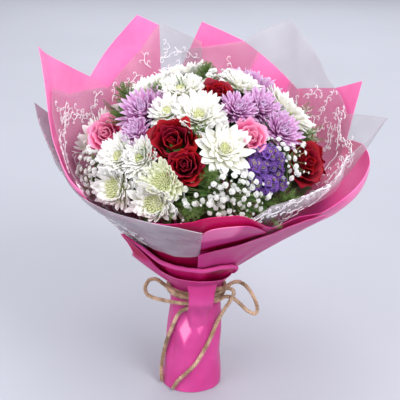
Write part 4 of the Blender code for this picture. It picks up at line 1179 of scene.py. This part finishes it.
def walked(grid, start, line):
    """The line, in millimetres, laid out on the sheet from a start in rows and columns."""
    rows, cols = grid.shape[:2]
    row, col = start
    track = []
    last = (0.0, 0.0)
    for x, y in line:
        r, c = int(row), int(col)
        up = (grid[r + 1, c] - grid[r, c]) * 1000
        along = (grid[r, c + 1] - grid[r, c]) * 1000
        wide = np.linalg.norm(along)
        lean = up @ along / wide
        rise = (y - last[1]) / math.sqrt(max(up @ up - lean * lean, 0.01))
        row += rise
        col += ((x - last[0]) - rise * lean) / wide
        last = (x, y)
        if not (0.3 < row < rows - 1.3 and 0.3 < col < cols - 1.3):
            break
        track.append((row, col))
    return track


def on_grid(grid, row, col):
    r = np.clip(row.astype(int), 0, grid.shape[0] - 2)
    c = np.clip(col.astype(int), 0, grid.shape[1] - 2)
    u, v = (row - r)[:, None], (col - c)[:, None]
    return (grid[r, c] * (1 - u) * (1 - v) + grid[r + 1, c] * u * (1 - v)
            + grid[r, c + 1] * (1 - u) * v + grid[r + 1, c + 1] * u * v)


def ink_line(growth, grid, track, half):
    """A flat line printed through the sheet, standing 0.15 mm proud of either side."""
    row, col = np.array(track).T
    middle = on_grid(grid, row, col)
    normal = unit(np.cross(on_grid(grid, row + 0.5, col) - middle, on_grid(grid, row, col + 0.5) - middle))
    side = unit(np.cross(normal, np.gradient(middle, axis=0)))
    reach = side * half * np.minimum(1.0, np.linspace(1.6, 0.35, len(track)))[:, None]
    growth.add(*leafed(np.stack([middle - reach, middle + reach], 1), FILM_THICKNESS + 0.0003, 0.5), 1)


# The outermost film is folded at its rim. Height in millimetres of its outer edge at each bearing,
# and how far in millimetres that stands off the bowl
OUTER_EDGE = (
    (-180, 152, 0), (-132, 164, 0), (-108, 172, 3), (-90, 180, 8), (-76, 184, 12), (-66, 188, 13),
    (-60, 192, 12),
    (-55, 203, 9), (-51, 221, 5), (-48, 238, 3), (-46, 226, 4), (-44, 204, 6), (-41, 186, 7.5), (-38, 178, 7),
    (-31, 173, 6.5), (-24, 169, 6.5), (-12, 167.4, 6.5), (0, 166.3, 6.5), (11, 165.4, 6.5), (22, 164, 6.5),
    (31, 163.5, 6.5), (38, 166, 5), (43, 172, 1.5), (50, 166, 0), (60, 156, 0), (72, 152, 0), (180, 152, 0))
# Height in millimetres of its inner edge, which ends in a tip at the left, and how far it rolls out
INNER_EDGE = (
    (-60, 190, 0), (-55, 215, 0), (-50, 233, 0), (-46, 238, 0), (-42, 228, 0.3), (-38, 219, 0.8),
    (-35, 209, 1),
    (-31, 200, 1), (-26, 195.5, 1), (-20, 193, 1), (-8, 190.5, 1), (9, 190, 1), (19, 193, 1), (29, 191.5, 1),
    (37, 186, 1), (42, 174, 0.6), (44, 168, 0))
# A pleat of it that hangs over the knot, as height and radius
PLEAT = ((0.080, 0.0315), (0.088, 0.0325), (0.095, 0.0335), (0.102, 0.0347), (0.109, 0.0366), (0.115, 0.0394),
         (0.121, 0.0432), (0.127, 0.0468), (0.134, 0.0480), (0.142, 0.0476), (0.150, 0.0473), (0.158, 0.0485))
# Painted highlights where facets of the sleeve catch the light: bearing, height, half width and height, and how
# pale
PAINTED_HIGHLIGHTS = ((-20, 0.084, 17, 0.021, 0.42), (12, 0.090, 10, 0.013, 0.22))


def tent(value):
    """Straight ridges one unit apart, between 0 and 1."""
    return 2 * np.abs(value - np.floor(value + 0.5))


def sleeve_radius(bearings, height):
    """The sleeve round the stems, which falls into flat facets between its creases."""
    arc = bearings / 360 * 0.230
    facets = np.maximum(tent((arc + 0.42 * height) / 0.038 + 0.2), tent((arc - 0.55 * height) / 0.046 + 0.35))
    neck = float(wall(COLLAR_LAYER, 0, 0.122))
    width = np.interp(height, (0, 0.010, 0.122), (FOOT_RADIUS, FOOT_RADIUS, neck))
    lap = 0.0011 * clamp((bearings - 40) / 1.5) * clamp((100 - bearings) / 60)
    return width - 0.0034 * (1 - facets) * np.sin(np.pi * clamp(height / 0.125)) ** 0.5 + lap


def sleeve_and_rim(growth):
    """The sleeve round the stems with the outer edge of the collar above it."""
    bearings = np.concatenate([np.linspace(-180, -66, 58), np.linspace(-65, -36, 46),
                               np.linspace(-35, 180, 109)])
    edge = read(OUTER_EDGE, bearings, 1) / 1000
    stand = read(OUTER_EDGE, bearings, 2) / 1000
    sleeve = np.linspace(0, 0.112, 28)[:, None]
    height = 0.118 + (edge - 0.118) * np.linspace(0, 1, 24)[:, None]
    radius, gathers = layer_radius(COLLAR_LAYER, bearings, height)
    radius = radius + gathers * (1 - 0.6 * clamp(stand / 0.004))
    radius = radius + (0.0012 + stand) * clamp((height - 0.138) / (edge - 0.138)) ** 0.75
    grid = np.concatenate([around(bearings, sleeve_radius(bearings, sleeve), sleeve),
                           around(bearings, radius, height)])
    painted_shade = np.full(grid.shape[:2], 0.50)
    # Painted highlights on the sleeve's facets
    for middle, low, wide, tall, gain in PAINTED_HIGHLIGHTS:
        painted_shade[:28] -= gain * clamp(3 - 3 * (np.abs(bearings - middle) / wide + np.abs(sleeve - low) / tall))
    # Painted shade: the collar a little deeper than the sleeve, crimson at its left tip
    tip = clamp((height - 0.186) / 0.010) * clamp((bearings + 64) / 6) * clamp((-38 - bearings) / 3)
    painted_shade[28:] = 0.55 + 0.32 * tip
    # Painted light along the collar's folded edge
    painted_shade[-1] = 0.42
    growth.add(*leafed(grid, FILM_THICKNESS, painted_shade))


def inner_lip(growth):
    """The collar's inner ply, whose edge rolls out over the tie."""
    bearings = np.linspace(-60, 44, 97)
    edge = read(INNER_EDGE, bearings, 1) / 1000
    roll = read(INNER_EDGE, bearings, 2)
    share = np.linspace(0, 1, 20)[:, None]
    height = 0.150 + (edge - 0.150) * share
    radius = sum(layer_radius(COLLAR_LAYER, bearings, height)) + 0.0006 + 0.0026 * share ** 2
    grid = with_hem(around(bearings, radius, height), bearings, 0.0012 + 0.0072 * roll)
    # Painted shade: crimson inside the collar's mouth, darkest in its hollow near bearing 20
    painted_shade = np.full(grid.shape[:2], 0.76)
    painted_shade[:20] += 0.24 * clamp(1 - ((bearings - 20) / 14) ** 2)
    # Painted light on the rolled edge, paler the further it rolls out
    painted_shade[19:] = 0.76 - 0.30 * clamp(roll * 1.2)
    growth.add(*leafed(grid, FILM_THICKNESS, painted_shade))


def tongue(growth):
    """The pleat over the knot, whose foot and sides lie back on the sleeve."""
    share = np.linspace(0, 1, 36)[:, None]
    height = np.interp(share, np.linspace(0, 1, len(PLEAT)), [row[0] for row in PLEAT])
    across = np.linspace(-1, 1, 29)
    bearings = 8 + (19 + 6 * clamp((0.125 - height) / 0.02) + 5 * clamp((height - 0.142) / 0.016)) * across
    swell = 0.0012 * np.cos(across * 1.3) + 0.0007 * tent(across * 1.1 + height * 30) - 0.0010
    free = np.maximum(eased(clamp((height - 0.094) / 0.028)), eased(clamp((1 - np.abs(across)) / 0.4)))
    resting = sleeve_radius(bearings, height) - 0.0009
    radius = resting + (read(PLEAT, height) + swell - resting) * free * clamp(share / 0.2)
    # Painted shade: the pleat deeper in colour at its top, under the collar
    growth.add(*leafed(around(bearings, radius, height), FILM_THICKNESS,
                       0.44 + 0.10 * clamp((height - 0.130) / 0.012)))


def make_outer_wrap():
    """The outermost film: a sleeve round the stems, tied at the neck, whose collar gapes open."""
    growth = Growth()
    sleeve_and_rim(growth)
    inner_lip(growth)
    tongue(growth)
    sheet_piece(growth, "film_outer_wrap", "film")


# ---- Twine ----------------------------------------------------------------------------------

STRAND_RADIUS = 0.00135
LAY_LENGTH = 0.0125


def smooth_route(route, step):
    """Points of a Catmull-Rom curve through the route, about a step apart."""
    ends = [route[0] * 2 - route[1]] + route + [route[-1] * 2 - route[-2]]
    points = []
    for p0, p1, p2, p3 in zip(ends, ends[1:], ends[2:], ends[3:]):
        count = max(1, round((p2 - p1).length / step))
        for t in [part / count for part in range(count)]:
            points.append(0.5 * ((2 * p1) + (p2 - p0) * t + (2 * p0 - 5 * p1 + 4 * p2 - p3) * t * t
                                 + (3 * p1 - p0 - 3 * p2 + p3) * t ** 3))
    return points + [route[-1]]


def spin_twine(growth, route, chance):
    """Three strands laid round each other along the route, with loose fibres standing off."""
    points = [Vector(point) for point in route]
    runs = [0.0]
    for before, after in zip(points, points[1:]):
        runs.append(runs[-1] + (after - before).length)
    frames = list(frames_along(points, points[1] - points[0]))
    for strand in range(3):
        path = []
        for (point, across, up, _), run in zip(frames, runs):
            turn = 2 * math.pi * (strand / 3 + run / LAY_LENGTH)
            out = across * math.cos(turn) + up * math.sin(turn)
            path.append(point + out * (TWINE_RADIUS - STRAND_RADIUS))
        body, faces, grain = tube(path, [STRAND_RADIUS * 1.05] * len(path))
        grain[:, 2] = chance.random()
        growth.add(body, faces, grain)
    for point, across, up, ahead in frames:
        if chance.random() > 0.5:
            continue
        turn = chance.random() * FULL_TURN
        out = across * math.cos(turn) + up * math.sin(turn)
        root = point + out * TWINE_RADIUS * 0.85
        tip = root + (out * chance.uniform(0.4, 1.0) + ahead * chance.uniform(-1, 1)) * 0.0022
        growth.add(*tube([root, (root + tip) / 2 + out * 0.0003, tip], (0.00010, 0.00008, 0.00004), 3))


def make_tie():
    """Two turns of twine round the neck, and the knot wrapped over them."""
    growth = Growth()
    chance = random.Random("tie")
    reach = float(wall(COLLAR_LAYER, 0, TIE_HEIGHT)) + FILM_THICKNESS / 2 + TWINE_RADIUS + 0.0008
    helix = [around(20 + 720 * s, reach, TIE_HEIGHT + (s - 0.5) * 4.4 * TWINE_RADIUS)
             for s in np.linspace(0, 1, 420)]
    spin_twine(growth, helix, chance)
    bearing, radius, height = KNOT
    middle = Vector(around(bearing, radius, height))
    out = (middle - Vector(around(bearing, 0, height))).normalized()
    up = Vector((0, 0, 1))
    wraps = []
    for s in np.linspace(0, 1, 90):
        turn = 2 * math.pi * 2.3 * s
        wraps.append(middle + up.cross(out) * (s - 0.5) * 0.0100 + up * math.sin(turn) * 0.0062
                     + out * math.cos(turn) * 0.0036)
    spin_twine(growth, wraps, chance)
    growth.piece("twine_turns_and_knot", ("jute",), ["twine_tie"], "twine")


def make_cord(name, node, far_end, out, free, back):
    growth = Growth()
    route = [Vector(around(*place)) for place in out] + [Vector(point) for point in free]
    route += [Vector(around(*place)) for place in back]
    fine = smooth_route(route, 0.0010)
    spin_twine(growth, fine, random.Random(name))
    piece = growth.piece(name, ("jute",), [node], "twine")
    length = sum((b - a).length for a, b in zip(fine, fine[1:]))
    tuple(route[0])
    [tuple(point) for point in fine[::3] + [fine[-1]]]


def make_binding():
    """Three turns of thin string round the stems, inside the film."""
    growth = Growth()
    for index in range(3):
        low = TIE_HEIGHT - 0.0022 + 0.0022 * index
        ring = [around(3 * step, NECK_RADIUS + 0.0014, low + 0.0022 * step / 120) for step in range(119)]
        growth.add(*tube(ring, [0.0010] * len(ring), 8))
    growth.piece("string_turns", ("string",), ["string_binding"], "string")


# ---- Studio ---------------------------------------------------------------------------------

# Name, place, size and power of each soft light
LIGHTS = (("key", (1.1, -1.5, 2.0), 1.0, 49.0), ("fill", (-1.5, -1.5, 1.5), 1.6, 27.0),
          ("top", (0.0, 0.2, 2.4), 1.4, 21.0), ("rear", (0.2, 2.0, 1.2), 1.8, 14.0))


def put(name, data, place, aim):
    """An object that looks from its place at its aim."""
    made = bpy.data.objects.new(name, data)
    made.location = place
    made.rotation_mode = "QUATERNION"
    made.rotation_quaternion = (Vector(aim) - Vector(place)).to_track_quat("-Z", "Y")
    bpy.context.scene.collection.objects.link(made)
    return made


def make_studio():
    scene = bpy.context.scene
    lens = bpy.data.cameras.new("camera")
    lens.lens = 97.0
    lens.sensor_width = 36.0
    scene.camera = put("camera", lens, (0.0114, -1.1998, 0.7297), (0.0114, 0.0, 0.245))
    scene.view_settings.view_transform = "Standard"
    for name, place, size, power in LIGHTS:
        light = bpy.data.lights.new(name, "AREA")
        light.size = size
        light.energy = power
        put(name, light, place, (0, 0, 0.24))
    scene.world = bpy.data.worlds.new("studio")
    scene.world.use_nodes = True
    sky = scene.world.node_tree.nodes["Background"].inputs
    sky["Color"].default_value = linear("#F2F3FA")
    sky["Strength"].default_value = 0.96
    growth = Growth()
    ring = np.arange(64)
    after = (ring + 1) % 64
    circle = around(ring / 64 * 360, 1.0, 0.0)
    points = np.concatenate([np.zeros((1, 3)), circle * 0.4, circle * 2, circle * 40]) - (0, 0, 0.0006)
    faces = [np.stack([0 * ring, 1 + ring, 1 + after], -1)]
    for near in (1, 65):
        far = near + 64
        faces.append(np.stack([near + ring, far + ring, far + after, near + after], -1))
    growth.add(points, faces, np.zeros((len(points), 3)))
    floor = growth.piece("floor", ("floor",))


make_studio()
for cord in CORDS:
    make_cord(*cord)
make_tie()
for sheet in SHEETS:
    lay_sheet(*sheet)
make_outer_wrap()
make_binding()
heads = [Head(*row) for row in HEADS]
for one in heads:
    for neighbour in heads:
        if neighbour is not one:
            one.meet(neighbour)
GROW = {"mum": mum, "rose": rose, "gypsophila": gypsophila, "fern": fern, "statice": statice}
for one in heads:
    GROW[one.kind](one)
make_stems(heads)
